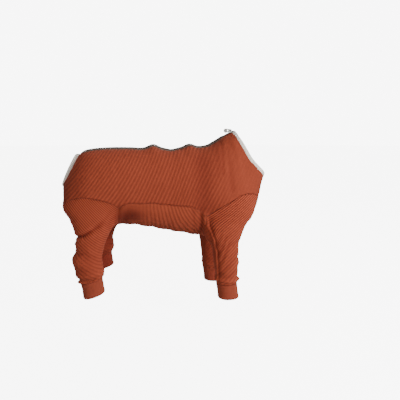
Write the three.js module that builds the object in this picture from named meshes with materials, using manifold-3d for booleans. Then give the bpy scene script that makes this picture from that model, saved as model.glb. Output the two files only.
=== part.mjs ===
// A ribbed-knit jumpsuit for a dog: four legs with cuffs, an exposed zip along the back,
// bound neck and tail openings. +X is towards the head, +Y is the dog's left, +Z is up.
// The origin is on the back, in the dip between the zip's two waves.
import * as THREE from 'three';
import Module from 'manifold-3d';
import { mergeVertices } from 'three/addons/utils/BufferGeometryUtils.js';

const wasm = await Module();
wasm.setup();

// Body sizes, in millimetres
const BACK_LENGTH = 441;
const BODY_DEPTH = 215;
const BODY_WIDTH = 196;
const BODY_ROUNDNESS = 2.2;
const LEG_ROUNDNESS = 2.1;
const BLEND = 24;

// Leg sizes
const LEG_TRACK = 174;
const HIND_LEG_X = -228;
const FRONT_LEG_X = 152;
const HIP_HEIGHT = -30;
const HIND_LEG_LENGTH = 322;
const FRONT_LEG_LENGTH = 354;
const THIGH_WIDTH = 137;
const SHOULDER_WIDTH = 132;
const LEFT_HIND_SHORTER = 20;
const LEFT_FRONT_LONGER = 11;
const LEFT_HIND_AHEAD = 13;
const LEFT_FRONT_BEHIND = 12;
const CROTCH_GUSSET = 46;

// Cuff sizes
const HIND_CUFF_LENGTH = 45;
const HIND_CUFF_WIDTH = 60;
const HIND_CUFF_SLANT = 0.27;
const FRONT_CUFF_LENGTH = 45;
const FRONT_CUFF_WIDTH = 61;
const CUFF_THICKNESS = 2.4;

// Cloth, bindings and seams
const CLOTH = 2;
const SEAM_GAP = 0.55;
const NECK_BINDING = 10;
const TAIL_BINDING = 12;
const BINDING_THICKNESS = 3;
const NECK_DROP = 0.45;

// Zip sizes
const ZIP_WIDTH = 22;
const TAPE_THICKNESS = 1;
const CHAIN_WIDTH = 5.6;
const CHAIN_TOP = 0.9;
const CHAIN_CROWN = 0.9;
const CHAIN_BOTTOM = -1.2;
const TAPE_TOP = -0.4;
const WAVE_HEIGHT = 10;
const WAVE_LENGTH = 106;
const WAVE_REACH = 34;

// Slider and pull tab
const SLIDER_LENGTH = 13;
const SLIDER_WIDTH = 9;
const SLIDER_PLATE = 1.4;
const SLIDER_FROM_NECK = -2;
const PIN_DIAMETER = 1.6;
const PIN_CLEARANCE = 0.35;
const TAB_LENGTH = 22;
const TAB_END_RADIUS = 6.4;
const TAB_EYE_RADIUS = 2.5;
const TAB_THICKNESS = 2;
const TAB_HOLE = 3.4;
const CLEARANCE = 0.35;

// A table becomes a list of rows with named columns.
const table = (columns, rows) => rows.map(
  (row) => Object.fromEntries(columns.map((name, i) => [name, row[i]])));

// Body rings from the tail opening to the neck opening. Each ring runs from a point on the
// back to a point below; x is a share of the back's length, z of the depth, wide of the width.
const RINGS = table(['backX', 'backZ', 'lowX', 'lowZ', 'wide'], [
  [-0.585, -0.037, -0.694, -0.484, 0.39],
  [-0.567, -0.016, -0.687, -0.595, 0.58],
  [-0.540, 0.003, -0.664, -0.744, 0.78],
  [-0.499, 0.018, -0.612, -0.884, 0.91],
  [-0.442, 0.028, -0.526, -0.970, 0.98],
  [-0.363, 0.034, -0.420, -0.998, 1.00],
  [-0.272, 0.032, -0.295, -1.000, 0.98],
  [-0.159, 0.026, -0.170, -1.040, 0.95],
  [-0.045, 0.024, -0.045, -1.098, 0.95],
  [0.068, 0.026, 0.079, -1.150, 0.98],
  [0.159, 0.034, 0.193, -1.190, 1.00],
  [0.238, 0.058, 0.317, -1.186, 1.00],
  [0.286, 0.107, 0.442, -1.115, 0.96],
  [0.322, 0.150, 0.533, -0.967, 0.88],
  [0.350, 0.188, 0.580, -0.777, 0.78],
  [0.381, 0.223, 0.607, -0.577, 0.70],
  [0.415, 0.251, 0.636, -0.386, 0.62],
]);

// Waves of the zip line: x as a share of the wave length, height and width of it too.
const WAVES = table(['x', 'high', 'wide'], [
  [-0.86, -0.10, 0.14],
  [-0.49, 1.00, 0.16],
  [0.00, -0.48, 0.17],
  [0.51, 1.00, 0.17],
]);

// Leg sections from the hip down to the cuff seam: down and the offsets are shares of the
// leg's length and upper width, out is a share of half the track.
const HIND_LEG = table(['down', 'ahead', 'long', 'out', 'wide'], [
  [0.00, 0.05, 0.18, 0.46, 0.08],
  [0.12, 0.06, 0.38, 0.50, 0.22],
  [0.25, 0.02, 0.485, 0.56, 0.31],
  [0.37, -0.01, 0.51, 0.62, 0.33],
  [0.47, 0.03, 0.455, 0.70, 0.33],
  [0.53, 0.04, 0.41, 0.76, 0.32],
  [0.58, 0.025, 0.355, 0.80, 0.30],
  [0.66, -0.015, 0.30, 0.86, 0.27],
  [0.73, -0.05, 0.275, 0.91, 0.255],
  [0.82, -0.095, 0.278, 0.96, 0.25],
  [0.92, -0.07, 0.272, 1.00, 0.245],
]);
const FRONT_LEG = table(['down', 'ahead', 'long', 'out', 'wide'], [
  [0.00, 0.12, 0.18, 0.44, 0.06],
  [0.14, 0.13, 0.38, 0.52, 0.20],
  [0.26, 0.13, 0.47, 0.60, 0.29],
  [0.33, 0.14, 0.50, 0.66, 0.32],
  [0.40, 0.12, 0.50, 0.71, 0.33],
  [0.47, 0.06, 0.485, 0.76, 0.325],
  [0.51, 0.00, 0.46, 0.80, 0.32],
  [0.565, -0.04, 0.425, 0.84, 0.315],
  [0.62, -0.06, 0.385, 0.87, 0.30],
  [0.665, -0.04, 0.315, 0.90, 0.28],
  [0.74, -0.02, 0.29, 0.94, 0.26],
  [0.83, -0.01, 0.27, 0.97, 0.245],
  [0.93, 0.00, 0.248, 1.00, 0.235],
]);

// Cuff sections below the seam: down is a share of the cuff's length, the rest of its width.
const CUFF = table(['down', 'long', 'wide', 'ahead'], [
  [0.00, 0.500, 0.450, 0.00],
  [0.12, 0.505, 0.455, 0.01],
  [0.50, 0.500, 0.450, 0.05],
  [1.00, 0.515, 0.465, 0.10],
]);

// The seam under the side panel, seen from the side, from the tail opening round the thigh,
// along the belly, over the shoulder and up the chest: shares of back length and depth.
const SEAM = table(['x', 'z'], [
  [-0.690, -0.462],
  [-0.676, -0.560],
  [-0.652, -0.615],
  [-0.622, -0.585],
  [-0.590, -0.565],
  [-0.553, -0.556],
  [-0.510, -0.565],
  [-0.469, -0.582],
  [-0.428, -0.606],
  [-0.376, -0.656],
  [-0.350, -0.700],
  [-0.297, -0.650],
  [-0.213, -0.651],
  [-0.102, -0.656],
  [0.000, -0.688],
  [0.095, -0.707],
  [0.163, -0.772],
  [0.205, -0.842],
  [0.261, -0.772],
  [0.324, -0.698],
  [0.408, -0.600],
  [0.472, -0.567],
  [0.520, -0.575],
  [0.562, -0.600],
  [0.602, -0.520],
  [0.633, -0.374],
]);
const REAR_SEAM_ROW = 2;
const GROIN_SEAM_ROW = 10;
const ARMPIT_SEAM_ROW = 17;
const CHEST_SEAM_ROW = 23;

// How many columns each stretch of the panels has, and how many rows each piece has.
const STRETCH = { tail: 2, thigh: 11, belly: 12, shoulder: 11, chest: 4 };
const SIDE_ROWS = 8;
const BELLY_ROWS = 8;
const LEG_UPPER_ROWS = 5;
const LEG_LOWER_ROWS = 6;
const CUFF_ROWS = 2;

// Folds and bulges of the cloth on both sides. The body's rows are shares of back length and
// depth; the legs' rows are shares of the leg's upper width and length from its hip. Each is
// a straight crease from one point to another; deep is in cloth thicknesses, out is positive.
const BODY_FOLDS = table(['x', 'z', 'toX', 'toZ', 'wide', 'deep'], [
  [0.163, -0.78, 0.185, -1.08, 0.020, -1.3],
  [0.197, -0.84, 0.214, -1.18, 0.018, 1.5],
  [0.226, -0.88, 0.236, -1.15, 0.018, -1.2],
  [-0.345, -0.74, -0.405, -0.93, 0.022, -1.7],
  [-0.300, -0.76, -0.330, -0.96, 0.026, -1.2],
  [0.335, 0.02, 0.370, -0.50, 0.022, -0.9],
  [0.405, 0.10, 0.440, -0.30, 0.018, 0.7],
]);
const HIND_FOLDS = table(['x', 'down', 'toX', 'toDown', 'wide', 'deep'], [
  [-0.34, 0.63, 0.24, 0.50, 0.055, -1.9],
  [-0.34, 0.68, 0.14, 0.60, 0.05, 0.9],
  [-0.38, 0.80, 0.15, 0.86, 0.08, 1.2],
  [-0.36, 0.955, 0.30, 0.92, 0.055, 1.5],
]);
const FRONT_FOLDS = table(['x', 'down', 'toX', 'toDown', 'wide', 'deep'], [
  [-0.36, 0.60, 0.10, 0.52, 0.05, 0.8],
  [-0.30, 0.72, 0.20, 0.64, 0.05, -0.9],
  [-0.26, 0.84, 0.25, 0.77, 0.05, 0.7],
  [-0.26, 0.955, 0.28, 0.965, 0.045, 1.7],
]);

// Smooth curve through sorted points, straight beyond both ends
function curve(at, value) {
  const last = at.length - 1;
  const rise = value.slice(1).map((v, i) => (v - value[i]) / (at[i + 1] - at[i]));
  const tangent = value.map((v, i) => {
    if (i === 0) return rise[0];
    if (i === last) return rise[last - 1];
    const product = rise[i - 1] * rise[i];
    return product <= 0 ? 0 : (2 * product) / (rise[i - 1] + rise[i]);
  });
  return (x) => {
    if (x <= at[0]) return value[0] + tangent[0] * (x - at[0]);
    if (x >= at[last]) return value[last] + tangent[last] * (x - at[last]);
    let i = 0;
    while (x > at[i + 1]) i += 1;
    const step = at[i + 1] - at[i];
    const u = (x - at[i]) / step;
    const v = 1 - u;
    return value[i] * (1 + 2 * u) * v * v + value[i + 1] * (3 - 2 * u) * u * u
      + step * (tangent[i] * u * v * v - tangent[i + 1] * u * u * v);
  };
}

const smooth = (u) => {
  const t = Math.min(1, Math.max(0, u));
  return t * t * (3 - 2 * t);
};
const vec = (x, y, z) => new THREE.Vector3(x, y, z);
const mix = (a, b, t) => a.clone().lerp(b, t);

// The rings as curves of the ring number
const ringNumbers = RINGS.map((row, i) => i);
const LAST_RING = RINGS.length - 1;
const column = (name, size) => curve(ringNumbers, RINGS.map((row) => row[name] * size));
const backX = column('backX', BACK_LENGTH);
const backZ = column('backZ', BODY_DEPTH);
const lowX = column('lowX', BACK_LENGTH);
const lowZ = column('lowZ', BODY_DEPTH);
const halfWidth = column('wide', BODY_WIDTH / 2);

function ring(s) {
  const back = vec(backX(s), 0, backZ(s));
  const low = vec(lowX(s), 0, lowZ(s));
  const up = back.clone().sub(low);
  const half = up.length() / 2;
  up.normalize();
  return { back, low, up, half, centre: mix(back, low, 0.5) };
}

// The ring whose line passes through a point of the side view
function ringThrough(x, z) {
  const side = (s) => (lowX(s) - backX(s)) * (z - backZ(s)) - (lowZ(s) - backZ(s)) * (x - backX(s));
  let a = -2;
  let b = LAST_RING + 2;
  const sign = Math.sign(side(a));
  for (let i = 0; i < 26; i += 1) {
    const middle = (a + b) / 2;
    if (Math.sign(side(middle)) === sign) a = middle;
    else b = middle;
  }
  return (a + b) / 2;
}

// Signed distance, roughly, to an oval section of two half sizes
function oval(p, q, halfP, halfQ, power) {
  const away = Math.hypot(p, q);
  if (away < 1e-6) return -Math.min(halfP, halfQ);
  const r = ((Math.abs(p) / halfP) ** power + (Math.abs(q) / halfQ) ** power) ** (1 / power);
  return away - away / r;
}

function wave(x, y, z) {
  const along = WAVES.reduce(
    (sum, row) => sum + row.high * Math.exp(-(((x / WAVE_LENGTH - row.x) / row.wide) ** 2)), 0);
  return WAVE_HEIGHT * along * Math.exp(-((y / WAVE_REACH) ** 2)) * smooth((z + BODY_DEPTH / 3) / 40);
}

function torso(x, y, z) {
  const flat = z - wave(x, y, z);
  const s = ringThrough(x, flat);
  const r = ring(s);
  const height = (x - r.centre.x) * r.up.x + (flat - r.centre.z) * r.up.z;
  return oval(height, y, r.half, Math.max(BODY_WIDTH / 24, halfWidth(s)), BODY_ROUNDNESS);
}

// One leg: its sections from the hip to the end of the cuff as curves of the height
function makeLeg(spec) {
  const seamZ = HIP_HEIGHT - spec.length;
  const rows = spec.sections.map((row) => ({
    z: HIP_HEIGHT - row.down * spec.length,
    x: spec.x + row.ahead * spec.width + spec.step * smooth(row.down / 0.62),
    y: (spec.side * row.out * LEG_TRACK) / 2,
    halfX: row.long * spec.width,
    halfY: row.wide * spec.width,
  }));
  const cuffX = spec.x + spec.foot * spec.width + spec.step;
  for (const row of CUFF) {
    rows.push({
      z: seamZ - row.down * spec.cuffLength,
      x: cuffX + row.ahead * spec.cuffWidth,
      y: (spec.side * LEG_TRACK) / 2,
      halfX: row.long * spec.cuffWidth,
      halfY: row.wide * spec.cuffWidth,
    });
  }
  rows.reverse();
  const heights = rows.map((row) => row.z);
  const along = (name) => curve(heights, rows.map((row) => row[name]));
  return {
    ...spec, seamZ, cuffX, x: along('x'), y: along('y'), halfX: along('halfX'), halfY: along('halfY'),
  };
}

const hind = {
  name: 'hind',
  sections: HIND_LEG, folds: HIND_FOLDS, x: HIND_LEG_X, width: THIGH_WIDTH, foot: -0.035,
  cuffLength: HIND_CUFF_LENGTH, cuffWidth: HIND_CUFF_WIDTH, slant: HIND_CUFF_SLANT,
  from: REAR_SEAM_ROW, to: GROIN_SEAM_ROW,
};
const front = {
  name: 'front',
  sections: FRONT_LEG, folds: FRONT_FOLDS, x: FRONT_LEG_X, width: SHOULDER_WIDTH, foot: 0,
  cuffLength: FRONT_CUFF_LENGTH, cuffWidth: FRONT_CUFF_WIDTH, slant: 0,
  from: ARMPIT_SEAM_ROW, to: CHEST_SEAM_ROW,
};
const LEGS = [
  makeLeg({ ...hind, end: 'right', side: -1, step: 0, length: HIND_LEG_LENGTH }),
  makeLeg({
    ...hind, end: 'left', side: 1, step: LEFT_HIND_AHEAD, length: HIND_LEG_LENGTH - LEFT_HIND_SHORTER,
  }),
  makeLeg({ ...front, end: 'right', side: -1, step: 0, length: FRONT_LEG_LENGTH }),
  makeLeg({
    ...front, end: 'left', side: 1, step: -LEFT_FRONT_BEHIND, length: FRONT_LEG_LENGTH + LEFT_FRONT_LONGER,
  }),
];

function legShape(leg, x, y, z) {
  const over = Math.max(0, z - HIP_HEIGHT);
  const level = Math.min(z, HIP_HEIGHT);
  const shape = oval(x - leg.x(level), y - leg.y(level), leg.halfX(level), leg.halfY(level), LEG_ROUNDNESS);
  return shape + 2 * over;
}

// Signed distance, roughly, to the whole body form: the torso and four legs run together
function form(p) {
  let body = torso(p.x, p.y, p.z);
  for (const leg of LEGS) {
    const limb = legShape(leg, p.x, p.y, p.z);
    const near = Math.max(0, BLEND - Math.abs(body - limb)) / BLEND;
    body = Math.min(body, limb) - (near * near * BLEND) / 4;
  }
  return body;
}

function slope(p) {
  const h = 0.6;
  return vec(
    form(vec(p.x + h, p.y, p.z)) - form(vec(p.x - h, p.y, p.z)),
    form(vec(p.x, p.y + h, p.z)) - form(vec(p.x, p.y - h, p.z)),
    form(vec(p.x, p.y, p.z + h)) - form(vec(p.x, p.y, p.z - h)),
  ).divideScalar(2 * h);
}

// Moves a guess onto the form, along the form's own slope
function settle(guess) {
  const p = guess.clone();
  for (let i = 0; i < 12; i += 1) {
    const g = slope(p);
    const value = form(p);
    p.addScaledVector(g, -Math.max(-12, Math.min(12, value / g.lengthSq())));
    if (Math.abs(value) < 0.002) break;
  }
  return p;
}

// First point of the form's surface along a ray from inside
function cast(from, direction) {
  let near = 0;
  let far = 4;
  while (form(from.clone().addScaledVector(direction, far)) < 0) {
    near = far;
    far += 6;
  }
  for (let i = 0; i < 18; i += 1) {
    const middle = (near + far) / 2;
    if (form(from.clone().addScaledVector(direction, middle)) < 0) near = middle;
    else far = middle;
  }
  return from.clone().addScaledVector(direction, (near + far) / 2);
}

const backPoint = (s, y) => {
  const r = ring(s);
  return cast(vec(r.centre.x, y, r.centre.z), r.up);
};

// The side seam as a share of each ring's line, from back to low
const seamRows = SEAM.map((row) => {
  const x = row.x * BACK_LENGTH;
  const z = row.z * BODY_DEPTH;
  const s = ringThrough(x, z);
  return { s, share: (backZ(s) - z) / (backZ(s) - lowZ(s)) };
});
seamRows[0].s = 0;
seamRows[seamRows.length - 1].s = LAST_RING;
const seamShare = curve(seamRows.map((row) => row.s), seamRows.map((row) => row.share));

function seamPoint(s, side) {
  const r = ring(s);
  const start = mix(r.back, r.low, seamShare(s));
  return cast(start, vec(0, side, 0));
}

// Ring numbers of the panels' columns, stretch by stretch
const stops = [
  [0, STRETCH.tail],
  [seamRows[REAR_SEAM_ROW].s, STRETCH.thigh],
  [seamRows[GROIN_SEAM_ROW].s, STRETCH.belly],
  [seamRows[ARMPIT_SEAM_ROW].s, STRETCH.shoulder],
  [seamRows[CHEST_SEAM_ROW].s, STRETCH.chest],
  [LAST_RING, 0],
];
const columns = [];
stops.slice(0, -1).forEach(([s, count], i) => {
  for (let k = 0; k < count; k += 1) columns.push(s + ((stops[i + 1][0] - s) * k) / count);
});
columns.push(LAST_RING);
const firstThigh = STRETCH.tail;
const firstShoulder = STRETCH.tail + STRETCH.thigh + STRETCH.belly;
const legColumns = { hind: [firstThigh, STRETCH.thigh], front: [firstShoulder, STRETCH.shoulder] };

// The neck opening's sides are drawn back: its rings lean towards the tail half way down.
const neckPull = (s) => NECK_DROP * smooth((s - (LAST_RING - 4)) / 4);

// One side panel as rows of surface points from the zip to the seam
function sideGrid(side) {
  return columns.map((s) => {
    const edge = backPoint(s, (side * ZIP_WIDTH) / 2);
    const seam = seamPoint(s, side);
    const r = ring(s);
    const angle = (p) => Math.atan2(Math.abs(p.y), p.clone().sub(r.centre).dot(r.up));
    const from = angle(edge);
    const to = angle(seam);
    const points = [edge];
    for (let i = 1; i < SIDE_ROWS; i += 1) {
      const share = i / SIDE_ROWS;
      const turn = from + (to - from) * share;
      const lean = ring(s - neckPull(s) * Math.sin(Math.PI * share) ** 2);
      const direction = lean.up.clone().multiplyScalar(Math.cos(turn));
      direction.y = side * Math.sin(turn);
      points.push(cast(lean.centre, direction));
    }
    points.push(seam);
    return points;
  });
}
const sideGrids = { right: sideGrid(-1), left: sideGrid(1) };

const lowPoint = (s) => cast(ring(s).centre, ring(s).up.clone().negate());

// The same number of points spaced evenly along a path
function evenPoints(path, count) {
  const lengths = [0];
  path.slice(1).forEach((p, i) => lengths.push(lengths[i] + p.distanceTo(path[i])));
  const total = lengths[lengths.length - 1];
  return Array.from({ length: count + 1 }, (unused, k) => {
    const wanted = (total * k) / count;
    let i = 0;
    while (i < path.length - 2 && lengths[i + 1] < wanted) i += 1;
    return mix(path[i], path[i + 1], (wanted - lengths[i]) / (lengths[i + 1] - lengths[i]));
  });
}

// The inner half of a leg's seam: down the crease of one side, along the narrow gusset
// between the legs and up the crease of the other side
const SEAM_SAMPLES = 30;
const CREASE_SHARE = 0.31;
function innerSeam(leg) {
  const [first, count] = legColumns[leg.name];
  const seam = sideGrids[leg.end].map((points) => points[SIDE_ROWS]);
  const start = seam[first];
  const finish = seam[first + count];
  const path = [start];
  for (let i = 1; i < SEAM_SAMPLES; i += 1) {
    const share = i / SEAM_SAMPLES;
    const low = lowPoint(columns[first] + (columns[first + count] - columns[first]) * share);
    const gusset = vec(low.x, (leg.side * CROTCH_GUSSET) / 2, low.z);
    const inner = smooth(Math.min(share, 1 - share) / CREASE_SHARE);
    path.push(settle(mix(share < 0.5 ? start : finish, gusset, inner)));
  }
  path.push(finish);
  const even = evenPoints(path, count);
  return even.map((p, i) => (i === 0 || i === count ? p : settle(p)));
}

// Edges of the belly panel: the side seam, or the inner seams of the legs
const bellyEdges = {};
for (const end of ['right', 'left']) {
  bellyEdges[end] = sideGrids[end].map((points) => points[SIDE_ROWS]);
  for (const leg of LEGS.filter((one) => one.end === end)) {
    const [first, count] = legColumns[leg.name];
    bellyEdges[end].splice(first, count + 1, ...innerSeam(leg));
  }
}

// Belly panel: from the right edge under the middle to the left edge. The places inside are
// evened out between their neighbours, so that the columns keep their order round the legs.
const EVENING = 60;
let bellyGrid = columns.map((s, index) => {
  const edges = [bellyEdges.right[index], bellyEdges.left[index]];
  const [right, left] = edges.map((p) => ringThrough(p.x, p.z));
  const low = lowPoint((s + right + left) / 3);
  const half = BELLY_ROWS / 2;
  return Array.from({ length: BELLY_ROWS + 1 }, (unused, i) => {
    const edge = i < half ? edges[0] : edges[1];
    const share = Math.abs(i - half) / half;
    const corner = vec(low.x * 0.6 + edge.x * 0.4, edge.y * 0.72, low.z * 0.92 + edge.z * 0.08);
    if (share === 1) return edge.clone();
    return settle(mix(mix(low, corner, share), mix(corner, edge, share), share));
  });
});
for (let pass = 0; pass < EVENING; pass += 1) {
  bellyGrid = bellyGrid.map((points, c) => points.map((p, r) => {
    if (c === 0 || c === columns.length - 1 || r === 0 || r === BELLY_ROWS) return p;
    const [before, after] = [bellyGrid[c - 1], bellyGrid[c + 1]];
    const along = after[r].clone().sub(before[r]);
    const across = points[r + 1].clone().sub(points[r - 1]);
    const twist = after[r + 1].clone().sub(after[r - 1]).sub(before[r + 1]).add(before[r - 1]);
    const even = before[r].clone().add(after[r]).multiplyScalar(across.lengthSq());
    even.addScaledVector(points[r - 1], along.lengthSq()).addScaledVector(points[r + 1], along.lengthSq());
    even.addScaledVector(twist, -along.dot(across) / 2);
    return settle(even.divideScalar(2 * (across.lengthSq() + along.lengthSq())));
  }));
}

// Height of a cuff's seam or end at a place round the leg; slanted cuffs are higher in front
const seamHeight = (leg, x) => leg.seamZ + leg.slant * (x - leg.cuffX);
const cuffEnd = (leg, x) => leg.seamZ - leg.cuffLength + leg.slant * (x - leg.cuffX);

function ringPoint(leg, turn, height) {
  const direction = vec(Math.cos(turn), Math.sin(turn), 0);
  let z = height(leg.x(leg.seamZ));
  let point;
  for (let i = 0; i < 3; i += 1) {
    point = cast(vec(leg.x(z), leg.y(z), z), direction);
    z = height(point.x);
  }
  return cast(vec(leg.x(z), leg.y(z), z), direction);
}

// A leg as columns round it, from its seam on the body down to the cuff seam
function legGrid(leg) {
  const [first, count] = legColumns[leg.name];
  const outer = sideGrids[leg.end].slice(first, first + count + 1).map((points) => points[SIDE_ROWS]);
  const inner = bellyEdges[leg.end].slice(first + 1, first + count).reverse();
  const loop = [...outer, ...inner];
  const crotch = Math.min(...inner.map((p) => p.z));
  const below = crotch - 26;
  return loop.map((start, index) => {
    const turn = Math.PI + (-leg.side * index * Math.PI) / count;
    const knee = ringPoint(leg, turn, () => below);
    const points = [];
    for (let i = 0; i < LEG_UPPER_ROWS; i += 1) {
      const share = i / LEG_UPPER_ROWS;
      points.push(i === 0 ? start.clone() : settle(mix(start, knee, share)));
    }
    for (let i = 0; i <= LEG_LOWER_ROWS; i += 1) {
      const share = i / LEG_LOWER_ROWS;
      points.push(ringPoint(leg, turn, (x) => below + (seamHeight(leg, x) - below) * share));
    }
    return points;
  });
}

function cuffGrid(leg) {
  const [, count] = legColumns[leg.name];
  return Array.from({ length: 2 * count }, (unused, index) => {
    const turn = Math.PI + (-leg.side * index * Math.PI) / count;
    return Array.from({ length: CUFF_ROWS + 1 }, (also, i) => ringPoint(
      leg, turn, (x) => seamHeight(leg, x) + (cuffEnd(leg, x) - seamHeight(leg, x)) * (i / CUFF_ROWS)));
  });
}

// Distance of a point of the side view from a crease
function creaseDistance(x, z, fromX, fromZ, toX, toZ) {
  const alongX = toX - fromX;
  const alongZ = toZ - fromZ;
  const share = ((x - fromX) * alongX + (z - fromZ) * alongZ) / (alongX ** 2 + alongZ ** 2);
  const t = Math.min(1, Math.max(0, share));
  return Math.hypot(x - fromX - alongX * t, z - fromZ - alongZ * t);
}

// How far the folds push the cloth out at a point
function relief(p) {
  let out = 0;
  for (const row of BODY_FOLDS) {
    const away = creaseDistance(p.x, p.z, row.x * BACK_LENGTH, row.z * BODY_DEPTH,
      row.toX * BACK_LENGTH, row.toZ * BODY_DEPTH);
    out += row.deep * CLOTH * Math.exp(-((away / (row.wide * BACK_LENGTH)) ** 2));
  }
  for (const leg of LEGS.filter((one) => one.side * p.y > 0)) {
    const z = (row) => HIP_HEIGHT - row * leg.length;
    const x = (row) => (leg.name === 'hind' ? HIND_LEG_X : FRONT_LEG_X) + row * leg.width;
    for (const row of leg.folds) {
      const away = creaseDistance(p.x, p.z, x(row.x), z(row.down), x(row.toX), z(row.toDown));
      out += row.deep * CLOTH * Math.exp(-((away / (row.wide * leg.width)) ** 2));
    }
  }
  return out * smooth(Math.abs(p.y) / 24);
}

// Triangles of one closed piece from its corner points
function closedGeometry(points, triangles) {
  const geometry = new THREE.BufferGeometry();
  const numbers = points.flatMap((p) => [p.x, p.y, p.z]);
  geometry.setAttribute('position', new THREE.Float32BufferAttribute(numbers, 3));
  geometry.setIndex(triangles.flat());
  geometry.computeVertexNormals();
  return geometry;
}

// Draws the points of a border back from the seam, square to it, by half the seam's gap
function drawBack(moved, border, normals, inside, round) {
  const last = border.length - 1;
  const across = border.map((p, k) => {
    const before = border[round ? (k + last) % (last + 1) : Math.max(0, k - 1)];
    const after = border[round ? (k + 1) % (last + 1) : Math.min(last, k + 1)];
    return normals[k].clone().cross(after.clone().sub(before)).normalize();
  });
  const inward = Math.sign(across.reduce((sum, d, k) => sum + d.dot(inside[k].clone().sub(border[k])), 0));
  moved.forEach((p, k) => p.addScaledVector(across[k], (inward * SEAM_GAP) / 2));
}

// Cloth of a given thickness on a grid of surface points; a round grid closes on itself.
function clothShell(grid, { thickness = CLOTH, round = false, flip = false }) {
  const rows = grid[0].length;
  const outer = [];
  const inner = [];
  const normals = grid.map((line) => line.map((p) => slope(p).normalize()));
  const folded = (p, normal) => p.clone().addScaledVector(normal, relief(p));
  const places = grid.map((line, c) => line.map((p, r) => folded(p, normals[c][r])));
  const pulled = places.map((line) => line.map((p) => p.clone()));
  const border = (row, inside) => drawBack(pulled.map((line) => line[row]), places.map((line) => line[row]),
    normals.map((line) => line[row]), places.map((line) => line[inside]), round);
  border(0, 1);
  border(rows - 1, rows - 2);
  if (!round) {
    const last = grid.length - 1;
    drawBack(pulled[0], places[0], normals[0], places[1], false);
    drawBack(pulled[last], places[last], normals[last], places[last - 1], false);
  }
  pulled.forEach((line, c) => line.forEach((p, r) => {
    outer.push(p);
    inner.push(p.clone().addScaledVector(normals[c][r], -thickness));
  }));
  const count = grid.length;
  const size = outer.length;
  const triangles = [];
  const quad = (a, b, c, d) => {
    const faces = [[a, b, c], [a, c, d]];
    for (const [i, j, k] of faces) triangles.push(flip ? [i, k, j] : [i, j, k]);
  };
  const at = (c, r) => (c % count) * rows + r;
  const spans = round ? count : count - 1;
  for (let c = 0; c < spans; c += 1) {
    for (let r = 0; r < rows - 1; r += 1) {
      quad(at(c, r), at(c + 1, r), at(c + 1, r + 1), at(c, r + 1));
      quad(size + at(c, r), size + at(c, r + 1), size + at(c + 1, r + 1), size + at(c + 1, r));
    }
    quad(at(c, 0), size + at(c, 0), size + at(c + 1, 0), at(c + 1, 0));
    quad(at(c, rows - 1), at(c + 1, rows - 1), size + at(c + 1, rows - 1), size + at(c, rows - 1));
  }
  if (!round) {
    for (let r = 0; r < rows - 1; r += 1) {
      const end = count - 1;
      quad(at(0, r), at(0, r + 1), size + at(0, r + 1), size + at(0, r));
      quad(at(end, r), size + at(end, r), size + at(end, r + 1), at(end, r + 1));
    }
  }
  return closedGeometry([...outer, ...inner], triangles);
}

// A bar of one section swept along frames; each frame gives a place and two directions.
function sweep(frames, section, round) {
  const points = frames.flatMap((f) => section.map(
    ([a, b]) => f.place.clone().addScaledVector(f.along, a).addScaledVector(f.out, b)));
  const sides = section.length;
  const count = frames.length;
  const triangles = [];
  const at = (c, k) => (c % count) * sides + (k % sides);
  for (let c = 0; c < (round ? count : count - 1); c += 1) {
    for (let k = 0; k < sides; k += 1) {
      triangles.push([at(c, k), at(c, k + 1), at(c + 1, k + 1)], [at(c, k), at(c + 1, k + 1), at(c + 1, k)]);
    }
  }
  if (!round) {
    for (let k = 1; k < sides - 1; k += 1) {
      triangles.push([at(0, 0), at(0, k + 1), at(0, k)]);
      triangles.push([at(count - 1, 0), at(count - 1, k), at(count - 1, k + 1)]);
    }
  }
  return closedGeometry(points, triangles);
}

// A binding wraps the cloth's edge: frames on the edge of the panels at one opening.
function bindingFrames(atNeck) {
  const index = atNeck ? columns.length - 1 : 0;
  const step = atNeck ? -1 : 1;
  const line = (i) => [
    ...sideGrids.right[i], ...bellyGrid[i].slice(1, -1), ...sideGrids.left[i].slice().reverse(),
  ];
  const edge = line(index);
  const before = line(index + step);
  const frames = edge.map((place, k) => ({
    place, along: place.clone().sub(before[k]).normalize(), out: slope(place).normalize(),
  }));
  if (atNeck) return frames;
  for (const y of [0.25, 0, -0.25]) {
    const place = backPoint(0, y * ZIP_WIDTH);
    frames.push({
      place, along: place.clone().sub(backPoint(1, y * ZIP_WIDTH)).normalize(), out: slope(place).normalize(),
    });
  }
  return frames;
}

function bindingGeometry(width, atNeck) {
  const near = SEAM_GAP / 2;
  const far = near + width;
  const over = (BINDING_THICKNESS - CLOTH) / 2;
  const section = [
    [near, over * 0.6], [near, -CLOTH - over * 0.6], [(near + far) / 2, -CLOTH - over],
    [far, -CLOTH * 0.8], [far, -CLOTH * 0.2], [(near + far) / 2, over],
  ];
  if (!atNeck) section.reverse();
  return sweep(bindingFrames(atNeck), section, !atNeck);
}

// Stations of the zip from the tail binding to the end of the neck binding
const ZIP_STATIONS = 42;
const ZIP_START = 0.02;
const neckStep = backPoint(LAST_RING, 0).distanceTo(backPoint(LAST_RING - 1, 0));
const zipEnd = LAST_RING + (NECK_BINDING - 1) / neckStep;
const zipRing = (i) => ZIP_START + ((zipEnd - ZIP_START) * i) / ZIP_STATIONS;

// A flat or crowned strip along the zip between two distances from its middle
function stripGeometry(fromY, toY, top, bottom, crown) {
  const frames = [];
  for (let i = 0; i <= ZIP_STATIONS; i += 1) {
    const place = backPoint(zipRing(i), (fromY + toY) / 2);
    frames.push({ place, along: vec(0, 1, 0), out: slope(vec(place.x, 0, place.z)).normalize() });
  }
  const half = (toY - fromY) / 2;
  const section = [[-half, bottom], [half, bottom], [half, top], [0, top + crown], [-half, top]];
  return sweep(frames, crown > 0 ? section : section.filter((corner) => corner[0] !== 0), false);
}

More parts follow.
